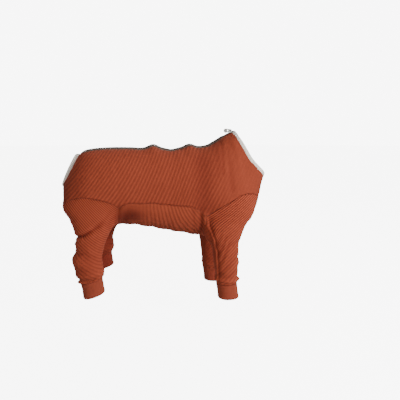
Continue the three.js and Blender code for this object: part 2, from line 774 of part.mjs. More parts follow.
// A closed mesh as a solid that can be joined and cut
function solid(geometry) {
  const bare = geometry.clone();
  bare.deleteAttribute('normal');
  bare.deleteAttribute('uv');
  const merged = mergeVertices(bare, 1e-4);
  return new wasm.Manifold(new wasm.Mesh({
    numProp: 3,
    vertProperties: new Float32Array(merged.attributes.position.array),
    triVerts: new Uint32Array(merged.index.array),
  }));
}

function fromSolid(body) {
  const mesh = body.getMesh();
  const geometry = new THREE.BufferGeometry();
  geometry.setAttribute('position', new THREE.Float32BufferAttribute(mesh.vertProperties, 3));
  geometry.setIndex(Array.from(mesh.triVerts));
  geometry.computeVertexNormals();
  return geometry;
}

// The slider's own frame: x along the zip towards the neck, z away from the cloth
const sliderRing = LAST_RING - (SLIDER_FROM_NECK + SLIDER_LENGTH / 2) / neckStep;
const sliderPlace = backPoint(sliderRing, 0);
const sliderAhead = backPoint(sliderRing + 0.3, 0).sub(backPoint(sliderRing - 0.3, 0)).normalize();
const sliderTilt = Math.atan2(sliderAhead.z, sliderAhead.x);
const plateBase = CHAIN_TOP + CHAIN_CROWN + CLEARANCE;
const plateTop = plateBase + SLIDER_PLATE;
const pinHeight = plateTop + CLEARANCE + TAB_EYE_RADIUS;
const pinX = SLIDER_LENGTH / 2 - TAB_EYE_RADIUS - 0.4;
const earInside = TAB_THICKNESS / 2 + CLEARANCE;
const earOutside = earInside + 1.3;
const tabReach = TAB_LENGTH - TAB_END_RADIUS;
const tabLean = Math.asin((TAB_END_RADIUS - TAB_EYE_RADIUS) / tabReach);

const extrude = (shape, depth) => new THREE.ExtrudeGeometry(
  shape, { depth, bevelEnabled: false, curveSegments: 7 });

function roundPlate(length, width, z0, z1) {
  const shape = new THREE.Shape();
  const half = width / 2;
  shape.moveTo(-length / 2, -half * 0.62);
  shape.lineTo(-length / 2 + half * 0.4, -half * 0.72);
  shape.lineTo(length / 2 - half * 0.6, -half);
  shape.absarc(length / 2 - half * 0.6, 0, half, -Math.PI / 2, Math.PI / 2, false);
  shape.lineTo(-length / 2 + half * 0.4, half * 0.72);
  shape.lineTo(-length / 2, half * 0.62);
  shape.closePath();
  return solid(extrude(shape, z1 - z0).translate(0, 0, z0));
}

function sliderGeometry() {
  const pin = new THREE.CylinderGeometry(PIN_DIAMETER / 2, PIN_DIAMETER / 2, 2 * earOutside - 0.2, 12);
  let body = roundPlate(SLIDER_LENGTH, SLIDER_WIDTH, plateBase, plateTop);
  body = body.add(solid(pin.translate(pinX, 0, pinHeight)));
  for (const side of [-1, 1]) {
    const ear = new THREE.Shape();
    ear.moveTo(pinX - TAB_EYE_RADIUS, plateTop - 0.5);
    ear.lineTo(pinX + TAB_EYE_RADIUS, plateTop - 0.5);
    ear.lineTo(pinX + TAB_EYE_RADIUS * 0.6, pinHeight);
    ear.absarc(pinX, pinHeight, TAB_EYE_RADIUS * 0.6, 0, Math.PI, false);
    ear.closePath();
    const cheek = extrude(ear, earOutside - earInside);
    cheek.rotateX(Math.PI / 2).translate(0, side < 0 ? -earInside : earOutside, 0);
    body = body.add(solid(cheek));
  }
  return fromSolid(body);
}

// The pull tab is a flat plate that stands on edge and turns on the slider's pin.
function tabGeometry() {
  const shape = new THREE.Shape();
  shape.absarc(0, 0, TAB_EYE_RADIUS, -Math.PI / 2 + tabLean, Math.PI / 2 - tabLean, false);
  shape.absarc(-tabReach, 0, TAB_END_RADIUS, Math.PI / 2 - tabLean, (3 * Math.PI) / 2 + tabLean, false);
  shape.closePath();
  const eye = new THREE.Path();
  eye.absarc(0, 0, PIN_DIAMETER / 2 + PIN_CLEARANCE, 0, 2 * Math.PI, true);
  const hole = new THREE.Path();
  hole.absarc(-tabReach * 0.62, 0, TAB_HOLE / 2, 0, 2 * Math.PI, true);
  shape.holes.push(eye, hole);
  const plate = extrude(shape, TAB_THICKNESS);
  return fromSolid(solid(plate.rotateX(Math.PI / 2).translate(0, TAB_THICKNESS / 2, 0)));
}

// Materials
const knit = (color) => new THREE.MeshStandardMaterial({ color, roughness: 0.95, metalness: 0 });
const RUST = 0xa34a2c;
const DEEP_RUST = 0x93412a;
const CREAM = 0xe2dccb;
const TAUPE = 0x5d534c;
const coil = new THREE.MeshStandardMaterial({ color: 0x4f4640, roughness: 0.5, metalness: 0.1 });
const metal = new THREE.MeshStandardMaterial({ color: 0xb9bab2, roughness: 0.35, metalness: 0.8 });

const group = new THREE.Group();
function piece(name, geometry, material) {
  const mesh = new THREE.Mesh(geometry, material);
  mesh.name = name;
  group.add(mesh);
  return mesh;
}

piece('side_panel_right', clothShell(sideGrids.right, { flip: true }), knit(RUST));
piece('side_panel_left', clothShell(sideGrids.left, {}), knit(RUST));
piece('belly_panel', clothShell(bellyGrid, { flip: true }), knit(DEEP_RUST));
for (const leg of LEGS) {
  const flip = leg.side < 0;
  const cuff = clothShell(cuffGrid(leg), { round: true, flip, thickness: CUFF_THICKNESS });
  piece(`${leg.name}_leg_${leg.end}`, clothShell(legGrid(leg), { round: true, flip }), knit(RUST));
  piece(`${leg.name}_cuff_${leg.end}`, cuff, knit(DEEP_RUST));
}
piece('neck_binding', bindingGeometry(NECK_BINDING, true), knit(CREAM));
piece('tail_binding', bindingGeometry(TAIL_BINDING, false), knit(CREAM));

const chainHalf = CHAIN_WIDTH / 2;
const tapeInner = chainHalf + SEAM_GAP;
const tapeOuter = ZIP_WIDTH / 2 - SEAM_GAP / 2;
const tapeBottom = TAPE_TOP - TAPE_THICKNESS;
piece('zipper_tape_right', stripGeometry(-tapeOuter, -tapeInner, TAPE_TOP, tapeBottom, 0), knit(TAUPE));
piece('zipper_tape_left', stripGeometry(tapeInner, tapeOuter, TAPE_TOP, tapeBottom, 0), knit(TAUPE));
piece('zipper_chain', stripGeometry(-chainHalf, chainHalf, CHAIN_TOP, CHAIN_BOTTOM, CHAIN_CROWN), coil);

const sliderGroup = new THREE.Group();
sliderGroup.position.copy(sliderPlace);
sliderGroup.rotation.y = -sliderTilt;
const slider = piece('zipper_slider', sliderGeometry(), metal);
const tab = piece('pull_tab', tabGeometry(), metal.clone());
tab.position.set(pinX, 0, pinHeight);
tab.rotation.y = tabLean;
sliderGroup.add(slider, tab);
group.add(sliderGroup);

export default group;
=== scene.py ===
# A ribbed-knit jumpsuit for a dog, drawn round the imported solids. Tables and shapes are in
# millimetres in the part's own frame; meshes are turned into metres when they are made.
import math

import bpy
import numpy as np
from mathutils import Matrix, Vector


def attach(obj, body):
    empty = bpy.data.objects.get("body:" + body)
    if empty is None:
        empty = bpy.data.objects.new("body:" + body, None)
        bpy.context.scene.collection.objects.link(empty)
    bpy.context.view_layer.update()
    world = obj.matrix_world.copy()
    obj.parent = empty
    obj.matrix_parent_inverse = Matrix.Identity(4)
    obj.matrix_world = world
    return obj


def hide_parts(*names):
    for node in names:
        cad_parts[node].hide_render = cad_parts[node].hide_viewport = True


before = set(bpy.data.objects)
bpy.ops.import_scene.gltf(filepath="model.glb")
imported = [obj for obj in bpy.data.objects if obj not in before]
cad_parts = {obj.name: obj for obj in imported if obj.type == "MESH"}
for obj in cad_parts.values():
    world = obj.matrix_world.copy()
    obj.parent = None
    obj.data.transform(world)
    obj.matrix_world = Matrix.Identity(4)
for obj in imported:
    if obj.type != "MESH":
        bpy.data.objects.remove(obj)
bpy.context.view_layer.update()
MM = 0.001
# Where an array of points keeps its x, y and z
X, Y, Z = (..., 0), (..., 1), (..., 2)

# Body sizes
BACK_LENGTH = 441.0
BODY_DEPTH = 215.0
BODY_WIDTH = 196.0
BODY_ROUNDNESS = 2.2
LEG_ROUNDNESS = 2.1
BLEND = 24.0

# Leg sizes
LEG_TRACK = 174.0
HIND_LEG_X = -228.0
FRONT_LEG_X = 152.0
HIP_HEIGHT = -30.0
HIND_LEG_LENGTH = 322.0
FRONT_LEG_LENGTH = 354.0
THIGH_WIDTH = 137.0
SHOULDER_WIDTH = 132.0
LEFT_HIND_SHORTER = 20.0
LEFT_FRONT_LONGER = 11.0
LEFT_HIND_AHEAD = 13.0
LEFT_FRONT_BEHIND = 12.0
CROTCH_GUSSET = 46.0

# Cuffs, cloth, bindings and zip
CUFF_LENGTH = 45.0
HIND_CUFF_WIDTH = 60.0
FRONT_CUFF_WIDTH = 61.0
HIND_CUFF_SLANT = 0.27
CUFF_THICKNESS = 2.4
CLOTH = 2.0
SEAM_GAP = 0.55
VISIBLE_GAP = 0.2
NECK_BINDING = 10.0
TAIL_BINDING = 12.0
BINDING_THICKNESS = 3.6
NECK_DROP, NECK_RINGS = 0.45, 4
ZIP_WIDTH = 22.0
TAPE_THICKNESS = 1.0
TAPE_TOP = -0.4
CHAIN_WIDTH = 5.6
CHAIN_TOP = 0.9
CHAIN_CROWN = 0.9
CHAIN_BOTTOM = -1.2
WAVE_HEIGHT = 10.0
WAVE_LENGTH = 106.0
WAVE_REACH = 34.0
WAVE_FADE = 40
CREASE_SHARE = 0.31
SEAM_SAMPLES = 30

# Rings from the tail to the neck: back x, back z, low x, low z, width, as shares
RINGS = np.array([
    [-0.585, -0.037, -0.694, -0.484, 0.39],
    [-0.567, -0.016, -0.687, -0.595, 0.58],
    [-0.540, 0.003, -0.664, -0.744, 0.78],
    [-0.499, 0.018, -0.612, -0.884, 0.91],
    [-0.442, 0.028, -0.526, -0.970, 0.98],
    [-0.363, 0.034, -0.420, -0.998, 1.00],
    [-0.272, 0.032, -0.295, -1.000, 0.98],
    [-0.159, 0.026, -0.170, -1.040, 0.95],
    [-0.045, 0.024, -0.045, -1.098, 0.95],
    [0.068, 0.026, 0.079, -1.150, 0.98],
    [0.159, 0.034, 0.193, -1.190, 1.00],
    [0.238, 0.058, 0.317, -1.186, 1.00],
    [0.286, 0.107, 0.442, -1.115, 0.96],
    [0.322, 0.150, 0.533, -0.967, 0.88],
    [0.350, 0.188, 0.580, -0.777, 0.78],
    [0.381, 0.223, 0.607, -0.577, 0.70],
    [0.415, 0.251, 0.636, -0.386, 0.62],
])
# Waves of the zip line: place, height and width
WAVES = [(-0.86, -0.10, 0.14), (-0.49, 1.00, 0.16), (0.00, -0.48, 0.17), (0.51, 1.00, 0.17)]
# Leg sections: down, ahead, long, out, wide
HIND_LEG = np.array([
    [0.00, 0.05, 0.18, 0.46, 0.08],
    [0.12, 0.06, 0.38, 0.50, 0.22],
    [0.25, 0.02, 0.485, 0.56, 0.31],
    [0.37, -0.01, 0.51, 0.62, 0.33],
    [0.47, 0.03, 0.455, 0.70, 0.33],
    [0.53, 0.04, 0.41, 0.76, 0.32],
    [0.58, 0.025, 0.355, 0.80, 0.30],
    [0.66, -0.015, 0.30, 0.86, 0.27],
    [0.73, -0.05, 0.275, 0.91, 0.255],
    [0.82, -0.095, 0.278, 0.96, 0.25],
    [0.92, -0.07, 0.272, 1.00, 0.245],
])
FRONT_LEG = np.array([
    [0.00, 0.12, 0.18, 0.44, 0.06],
    [0.14, 0.13, 0.38, 0.52, 0.20],
    [0.26, 0.13, 0.47, 0.60, 0.29],
    [0.33, 0.14, 0.50, 0.66, 0.32],
    [0.40, 0.12, 0.50, 0.71, 0.33],
    [0.47, 0.06, 0.485, 0.76, 0.325],
    [0.51, 0.00, 0.46, 0.80, 0.32],
    [0.565, -0.04, 0.425, 0.84, 0.315],
    [0.62, -0.06, 0.385, 0.87, 0.30],
    [0.665, -0.04, 0.315, 0.90, 0.28],
    [0.74, -0.02, 0.29, 0.94, 0.26],
    [0.83, -0.01, 0.27, 0.97, 0.245],
    [0.93, 0.00, 0.248, 1.00, 0.235],
])
# Cuff sections: down, long, wide, ahead
CUFF = [(0.00, 0.500, 0.450, 0.00), (0.12, 0.505, 0.455, 0.01),
        (0.50, 0.500, 0.450, 0.05), (1.00, 0.515, 0.465, 0.10)]
# The seam under the side panel: x and z
SEAM = np.array([
    [-0.690, -0.462], [-0.676, -0.560], [-0.652, -0.615], [-0.622, -0.585], [-0.590, -0.565],
    [-0.553, -0.556], [-0.510, -0.565], [-0.469, -0.582], [-0.428, -0.606], [-0.376, -0.656],
    [-0.350, -0.700], [-0.297, -0.650], [-0.213, -0.651], [-0.102, -0.656], [0.000, -0.688],
    [0.095, -0.707], [0.163, -0.772], [0.205, -0.842], [0.261, -0.772], [0.324, -0.698],
    [0.408, -0.600], [0.472, -0.567], [0.520, -0.575], [0.562, -0.600], [0.602, -0.520],
    [0.633, -0.374],
])
# Rows of the seam where a leg's seam starts or ends: rear, groin, armpit and chest, and the
# panels' columns between them
CORNER_ROWS = (2, 10, 17, 23)
STRETCH = (2, 11, 12, 11, 4)
COLUMNS = sum(STRETCH)
SIDE_ROWS = 8
BELLY_ROWS = 8
LEG_ROWS = (5, 6)
CUFF_ROWS = 2
# First column of each leg and its number of columns, and where the side meets the belly
LEG_COLUMNS = {"hind": (2, 11), "front": (25, 11)}
OPEN_STRETCHES = ((0, 2), (13, 25), (36, 40))
KNEE_BELOW = 26


# Smooth curve through sorted points, straight beyond both ends
def curve(at, value):
    at, value = np.asarray(at, float), np.asarray(value, float)
    step = np.diff(at)
    rise = np.diff(value) / step
    tangent = np.concatenate([rise[:1], np.zeros(len(at) - 2), rise[-1:]])
    product, total = rise[:-1] * rise[1:], rise[:-1] + rise[1:]
    good = product > 0
    tangent[1:-1][good] = 2 * product[good] / total[good]

    def value_at(x):
        x = np.asarray(x, float)
        i = np.clip(np.searchsorted(at, x, side="right") - 1, 0, len(at) - 2)
        u = (x - at[i]) / step[i]
        v = 1 - u
        inside = (value[i] * (1 + 2 * u) * v * v + value[i + 1] * (3 - 2 * u) * u * u
                  + step[i] * (tangent[i] * u * v * v - tangent[i + 1] * u * u * v))
        below = value[0] + tangent[0] * (x - at[0])
        above = value[-1] + tangent[-1] * (x - at[-1])
        return np.where(x <= at[0], below, np.where(x >= at[-1], above, inside))

    return value_at


def smooth(u):
    t = np.clip(u, 0, 1)
    return t * t * (3 - 2 * t)


def vec(x, y, z):
    return np.stack(np.broadcast_arrays(np.asarray(x, float), y, z), -1)


def unit(v):
    return v / np.maximum(np.linalg.norm(v, axis=-1, keepdims=True), 1e-9)


def bell(u):
    return np.exp(-(u ** 2))


# Distances along a path of points, from its first point
def lengths_along(path):
    return np.concatenate([[0], np.cumsum(np.linalg.norm(np.diff(path, axis=0), axis=1))])


# Finely sampled rings
LAST_RING = len(RINGS) - 1
RING_LOW, RING_HIGH, RING_STEPS = -2.0, LAST_RING + 2.0, 4000
ring_at = np.linspace(RING_LOW, RING_HIGH, RING_STEPS + 1)
ring_sizes = (BACK_LENGTH, BODY_DEPTH, BACK_LENGTH, BODY_DEPTH, BODY_WIDTH / 2)
RING_TABLE = np.stack([
    curve(range(len(RINGS)), RINGS[:, k] * size)(ring_at) for k, size in enumerate(ring_sizes)], 1)


def ring_values(s):
    place = (np.clip(s, RING_LOW, RING_HIGH - 1e-6) - RING_LOW) / (RING_HIGH - RING_LOW) * RING_STEPS
    i = place.astype(int)
    part = (place - i)[..., None]
    return RING_TABLE[i] * (1 - part) + RING_TABLE[i + 1] * part


class Ring:
    def __init__(self, s):
        bx, bz, lx, lz, wide = np.moveaxis(ring_values(np.asarray(s, float)), -1, 0)
        self.back, self.low = vec(bx, 0, bz), vec(lx, 0, lz)
        away = self.back - self.low
        length = np.linalg.norm(away, axis=-1)
        self.up, self.half, self.wide = away / length[..., None], length / 2, wide
        self.centre = (self.back + self.low) / 2


# The ring whose line passes through a point of the side view
def ring_through(x, z):
    x, z = np.broadcast_arrays(np.asarray(x, float), np.asarray(z, float))
    a = np.zeros(x.shape, int)
    b = np.full(x.shape, RING_STEPS)

    def side(i):
        bx, bz, lx, lz = (RING_TABLE[i, k] for k in range(4))
        return (lx - bx) * (z - bz) - (lz - bz) * (x - bx)

    sign = np.sign(side(a))
    while np.any(b - a > 1):
        middle = (a + b) // 2
        same = np.sign(side(middle)) == sign
        a, b = np.where(same, middle, a), np.where(same, b, middle)
    va, vb = side(a), side(b)
    share = np.where(va == vb, 0.5, va / np.where(va == vb, 1, va - vb))
    return RING_LOW + (a + np.clip(share, 0, 1)) * (RING_HIGH - RING_LOW) / RING_STEPS


def oval(p, q, half_p, half_q, power):
    away = np.hypot(p, q)
    r = ((np.abs(p) / half_p) ** power + (np.abs(q) / half_q) ** power) ** (1 / power)
    return np.where(away < 1e-6, -np.minimum(half_p, half_q), away - away / np.maximum(r, 1e-9))


def wave(x, y, z):
    along = sum(high * bell((x / WAVE_LENGTH - at) / wide) for at, high, wide in WAVES)
    return WAVE_HEIGHT * along * bell(y / WAVE_REACH) * smooth((z + BODY_DEPTH / 3) / WAVE_FADE)


def torso(x, y, z):
    flat = z - wave(x, y, z)
    r = Ring(ring_through(x, flat))
    height = (x - r.centre[X]) * r.up[X] + (flat - r.centre[Z]) * r.up[Z]
    return oval(height, y, r.half, np.maximum(BODY_WIDTH / 24, r.wide), BODY_ROUNDNESS)


class Leg:
    def __init__(self, name, end):
        hind = name == "hind"
        self.name, self.end = name, end
        self.side = 1 if end == "left" else -1
        self.table = HIND_LEG if hind else FRONT_LEG
        self.start_x = HIND_LEG_X if hind else FRONT_LEG_X
        self.width = THIGH_WIDTH if hind else SHOULDER_WIDTH
        self.length = HIND_LEG_LENGTH if hind else FRONT_LEG_LENGTH
        self.cuff_width = HIND_CUFF_WIDTH if hind else FRONT_CUFF_WIDTH
        self.slant = HIND_CUFF_SLANT if hind else 0.0
        self.step, self.rise = 0.0, 0.0
        if end == "left":
            self.rise = LEFT_HIND_SHORTER if hind else -LEFT_FRONT_LONGER
            self.length -= self.rise
            self.step = LEFT_HIND_AHEAD if hind else -LEFT_FRONT_BEHIND
        self.seam_z = HIP_HEIGHT - self.length
        self.cuff_x = self.start_x + (-0.035 * self.width if hind else 0) + self.step
        rows = [(HIP_HEIGHT - down * self.length,
                 self.start_x + ahead * self.width + self.step * float(smooth(down / 0.62)),
                 self.side * out * LEG_TRACK / 2, long * self.width, wide * self.width)
                for down, ahead, long, out, wide in self.table]
        rows += [(self.seam_z - down * CUFF_LENGTH, self.cuff_x + ahead * self.cuff_width,
                  self.side * LEG_TRACK / 2, long * self.cuff_width, wide * self.cuff_width)
                 for down, long, wide, ahead in CUFF]
        rows = np.array(rows[::-1])
        self.x, self.y, self.half_x, self.half_y = (curve(rows[:, 0], rows[:, k]) for k in (1, 2, 3, 4))

    def shape(self, x, y, z):
        level = np.minimum(z, HIP_HEIGHT)
        flat = oval(x - self.x(level), y - self.y(level), self.half_x(level), self.half_y(level),
                    LEG_ROUNDNESS)
        return flat + 2 * np.maximum(0, z - HIP_HEIGHT)

    def seam_height(self, x):
        return self.seam_z + self.slant * (x - self.cuff_x)


LEGS = [Leg("hind", "right"), Leg("hind", "left"), Leg("front", "right"), Leg("front", "left")]


# Signed distance, roughly, to the body form
def form(p, legs=LEGS):
    x, y, z = p[X], p[Y], p[Z]
    body = torso(x, y, z)
    for leg in legs:
        limb = leg.shape(x, y, z)
        near = np.maximum(0, BLEND - np.abs(body - limb)) / BLEND
        body = np.minimum(body, limb) - near * near * BLEND / 4
    return body


SLOPE_STEP, LONGEST_PULL = 0.6, 12
FIRST_REACH, NEXT_REACH, HALVINGS = 4, 6, 14


def slope(p):
    steps = np.eye(3) * SLOPE_STEP
    return np.stack([form(p + s) - form(p - s) for s in steps], -1) / (2 * SLOPE_STEP)


# Moves guesses onto the form, along the form's own slope
def settle(guess, rounds=6):
    p = np.array(guess, float)
    for _ in range(rounds):
        g = slope(p)
        pull = form(p) / np.maximum((g * g).sum(-1), 1e-6)
        p -= g * np.clip(pull, -LONGEST_PULL, LONGEST_PULL)[..., None]
    return p


# First point of the form's surface along rays from inside
def cast(start, direction, legs=LEGS):
    start, direction = (np.array(a, float) for a in np.broadcast_arrays(start, direction))
    shape = start.shape
    start, direction = start.reshape(-1, 3), direction.reshape(-1, 3)
    near = np.zeros(len(start))
    far = near + FIRST_REACH
    going = np.arange(len(start))
    while len(going):
        inside = form(start[going] + direction[going] * far[going, None], legs) < 0
        going = going[inside]
        near[going] = far[going]
        far[going] += NEXT_REACH
    for _ in range(HALVINGS):
        middle = (near + far) / 2
        inside = form(start + direction * middle[:, None], legs) < 0
        near, far = np.where(inside, middle, near), np.where(inside, far, middle)
    return (start + direction * ((near + far) / 2)[:, None]).reshape(shape)


def back_point(s, y):
    r = Ring(s)
    return cast(vec(r.centre[X], y, r.centre[Z]), r.up)


seam_ring = ring_through(SEAM[:, 0] * BACK_LENGTH, SEAM[:, 1] * BODY_DEPTH)
seam_values = ring_values(seam_ring)
seam_part = (seam_values[:, 1] - SEAM[:, 1] * BODY_DEPTH) / (seam_values[:, 1] - seam_values[:, 3])
seam_ring[0], seam_ring[-1] = 0, LAST_RING
seam_share = curve(seam_ring, seam_part)


def seam_point(s, side):
    r = Ring(s)
    share = seam_share(s)[..., None]
    return cast(r.back * (1 - share) + r.low * share, vec(0, side, 0))


# Ring numbers of evenly numbered places along the panels, 0 at the tail to COLUMNS at the neck
STOPS = [0, *(seam_ring[row] for row in CORNER_ROWS), LAST_RING]
STOP_AT = np.concatenate([[0], np.cumsum(STRETCH)])


def ring_of(column):
    return np.interp(column, STOP_AT, STOPS)


# Grid points to a column or row of the solids
MID = 4
mid_columns = np.linspace(0, COLUMNS, COLUMNS * MID + 1)


def side_grid(side):
    s = ring_of(mid_columns)
    edge, seam, r = back_point(s, side * ZIP_WIDTH / 2), seam_point(s, side), Ring(s)

    def angle(p):
        return np.arctan2(np.abs(p[Y]), ((p - r.centre) * r.up).sum(-1))

    start, stop = angle(edge), angle(seam)
    shares = np.linspace(0, 1, SIDE_ROWS * MID + 1)[1:-1]
    turn = start[:, None] + (stop - start)[:, None] * shares
    at_neck = smooth((s - (LAST_RING - NECK_RINGS)) / NECK_RINGS)[:, None]
    pull = NECK_DROP * at_neck * np.sin(np.pi * shares) ** 2
    lean = Ring(s[:, None] - pull)
    direction = lean.up * np.cos(turn)[..., None]
    direction[Y] = side * np.sin(turn)
    inside = cast(lean.centre, direction)
    return np.concatenate([edge[:, None], inside, seam[:, None]], 1)


def low_point(s):
    r = Ring(s)
    return cast(r.centre, -r.up)


def even_points(path, count):
    lengths = lengths_along(path)
    wanted = np.linspace(0, lengths[-1], count + 1)
    return np.stack([np.interp(wanted, lengths, path[:, k]) for k in range(3)], 1)


SIDES = {"right": side_grid(-1), "left": side_grid(1)}


# The inner half of a leg's seam: down one crease, along the gusset and up the other
def inner_seam(leg):
    first, count = LEG_COLUMNS[leg.name]
    seam = SIDES[leg.end][:, -1]
    start, finish = seam[first * MID], seam[(first + count) * MID]
    share = np.arange(1, SEAM_SAMPLES) / SEAM_SAMPLES
    low = low_point(ring_of(first) + (ring_of(first + count) - ring_of(first)) * share)
    gusset = vec(low[:, 0], leg.side * CROTCH_GUSSET / 2, low[:, 2])
    inner = smooth(np.minimum(share, 1 - share) / CREASE_SHARE)[:, None]
    ends = np.where(share[:, None] < 0.5, start, finish)
    path = np.concatenate([[start], settle(ends * (1 - inner) + gusset * inner), [finish]])
    even = even_points(path, count * MID)
    even[1:-1] = settle(even[1:-1], 3)
    return even


BELLY_EDGES = {}
for end, side_panel in SIDES.items():
    line = side_panel[:, -1].copy()
    for leg in LEGS:
        if leg.end == end:
            first, count = LEG_COLUMNS[leg.name]
            line[first * MID:(first + count) * MID + 1] = inner_seam(leg)
    BELLY_EDGES[end] = line


# Weights that carry values from evenly spaced places to finer ones along a smooth curve
def finer(count, times, round_it=False):
    places = np.arange(count * times + (0 if round_it else 1)) / times
    size = count if round_it else count + 1
    weights = np.zeros((len(places), size))
    i = np.minimum(places.astype(int), count - 1)
    u = places - i
    parts = [(-u + 2 * u * u - u ** 3) / 2, (2 - 5 * u * u + 3 * u ** 3) / 2,
             (u + 4 * u * u - 3 * u ** 3) / 2, (u ** 3 - u * u) / 2]
    rows = np.arange(len(places))
    for k, part in enumerate(parts):
        at = i + k - 1
        if round_it:
            weights[rows, at % size] += part
            continue
        low, high = at < 0, at > count
        fine = ~(low | high)
        weights[rows[fine], at[fine]] += part[fine]
        weights[rows[low], 0] += 2 * part[low]
        weights[rows[low], 1] -= part[low]
        weights[rows[high], count] += 2 * part[high]
        weights[rows[high], count - 1] -= part[high]
    return weights


def refine(grid, along, across, round_it=False):
    columns = len(grid) if round_it else len(grid) - 1
    a, b = finer(columns, along, round_it), finer(grid.shape[1] - 1, across)
    return np.einsum("ic,crk,jr->ijk", a, grid, b, optimize=True)


EVENING_ROUNDS = 60


# Belly panel, evened out between its edges so that its columns keep their order
def belly_grid():
    rows = BELLY_ROWS
    edges = [BELLY_EDGES["right"][::MID], BELLY_EDGES["left"][::MID]]
    s = ring_of(np.arange(COLUMNS + 1))
    rings = [ring_through(e[:, 0], e[:, 2]) for e in edges]
    low = low_point((s + rings[0] + rings[1]) / 3)
    grid = np.empty((COLUMNS + 1, rows + 1, 3))
    for i in range(rows + 1):
        edge = edges[0] if i < rows / 2 else edges[1]
        share = abs(i - rows / 2) / (rows / 2)
        corner = vec(low[:, 0] * 0.6 + edge[:, 0] * 0.4, edge[:, 1] * 0.72,
                     low[:, 2] * 0.92 + edge[:, 2] * 0.08)
        guess = (low * (1 - share) + corner * share) * (1 - share) + (
            corner * (1 - share) + edge * share) * share
        grid[:, i] = edge if share == 1 else settle(guess)
    for _ in range(EVENING_ROUNDS):
        before, after = grid[:-2], grid[2:]
        along = after[:, 1:-1] - before[:, 1:-1]
        across = grid[1:-1, 2:] - grid[1:-1, :-2]
        twist = after[:, 2:] - after[:, :-2] - before[:, 2:] + before[:, :-2]
        a = (across ** 2).sum(-1, keepdims=True)
        c = (along ** 2).sum(-1, keepdims=True)
        b = (along * across).sum(-1, keepdims=True)
        even = ((before[:, 1:-1] + after[:, 1:-1]) * a + (grid[1:-1, :-2] + grid[1:-1, 2:]) * c
                - twist * b / 2)
        grid[1:-1, 1:-1] = settle(even / (2 * (a + c)), 1)
    fine = refine(grid, MID, MID)
    share = np.linspace(0, 1, rows * MID + 1)[None, :, None]
    first = BELLY_EDGES["right"][:, None] - fine[:, :1]
    last = BELLY_EDGES["left"][:, None] - fine[:, -1:]
    fine += first * (1 - smooth(share * 5)) + last * (1 - smooth((1 - share) * 5))
    fine[:, 1:-1] = settle(fine[:, 1:-1], 2)
    return fine


def ring_point(leg, turn, height):
    direction = vec(np.cos(turn), np.sin(turn), 0)
    z = height(leg.x(leg.seam_z)) + turn * 0
    for k in range(4):
        centre = vec(leg.x(z), leg.y(z), z)
        point = cast(centre, direction, [leg])
        if k < 3:
            z = height(point[X])
    return point


def leg_grid(leg):
    first, count = LEG_COLUMNS[leg.name]
    span = slice(first * MID, (first + count) * MID + 1)
    outer = SIDES[leg.end][span, -1]
    inner = BELLY_EDGES[leg.end][first * MID + 1:(first + count) * MID][::-1]
    loop = np.concatenate([outer, inner])
    below = inner[:, 2].min() - KNEE_BELOW
    turn = np.pi - leg.side * np.arange(len(loop)) * np.pi / (count * MID)
    knee = ring_point(leg, turn, lambda x: below + 0 * x)
    upper_rows, lower_rows = (n * MID for n in LEG_ROWS)
    share = (np.arange(1, upper_rows) / upper_rows)[None, :, None]
    upper = settle(loop[:, None] * (1 - share) + knee[:, None] * share)
    down = np.arange(lower_rows + 1) / lower_rows
    lower = ring_point(leg, np.repeat(turn[:, None], len(down), 1),
                       lambda x: below + (leg.seam_height(x) - below) * down)
    return np.concatenate([loop[:, None], upper, lower], 1)


def cuff_grid(leg):
    count = LEG_COLUMNS[leg.name][1]
    turn = np.pi - leg.side * np.arange(2 * count * MID) * np.pi / (count * MID)
    down = np.arange(CUFF_ROWS * MID + 1) / (CUFF_ROWS * MID)
    return ring_point(leg, np.repeat(turn[:, None], len(down), 1),
                      lambda x: leg.seam_height(x) - CUFF_LENGTH * down)


# Folds of the cloth: body rows are shares of back length and depth, leg rows shares of the
# leg's upper width and length; x, z to x, z, then width as a share and depth in cloth walls
BODY_FOLDS = [
    (0.163, -0.78, 0.185, -1.08, 0.020, -1.3),
    (0.197, -0.84, 0.214, -1.18, 0.018, 1.5),
    (0.226, -0.88, 0.236, -1.15, 0.018, -1.2),
    (-0.345, -0.74, -0.405, -0.93, 0.022, -1.7),
    (-0.300, -0.76, -0.330, -0.96, 0.026, -1.2),
    (0.335, 0.02, 0.370, -0.50, 0.022, -0.9),
    (0.405, 0.10, 0.440, -0.30, 0.018, 0.7),
]
LEG_FOLDS = {
    "hind": [
        (-0.34, 0.63, 0.24, 0.50, 0.055, -1.9),
        (-0.34, 0.68, 0.14, 0.60, 0.05, 0.9),
        (-0.38, 0.80, 0.15, 0.86, 0.08, 1.2),
        (-0.36, 0.955, 0.30, 0.92, 0.055, 1.5),
    ],
    "front": [
        (-0.36, 0.60, 0.10, 0.52, 0.05, 0.8),
        (-0.30, 0.72, 0.20, 0.64, 0.05, -0.9),
        (-0.26, 0.84, 0.25, 0.77, 0.05, 0.7),
        (-0.26, 0.955, 0.28, 0.965, 0.045, 1.7),
    ],
}
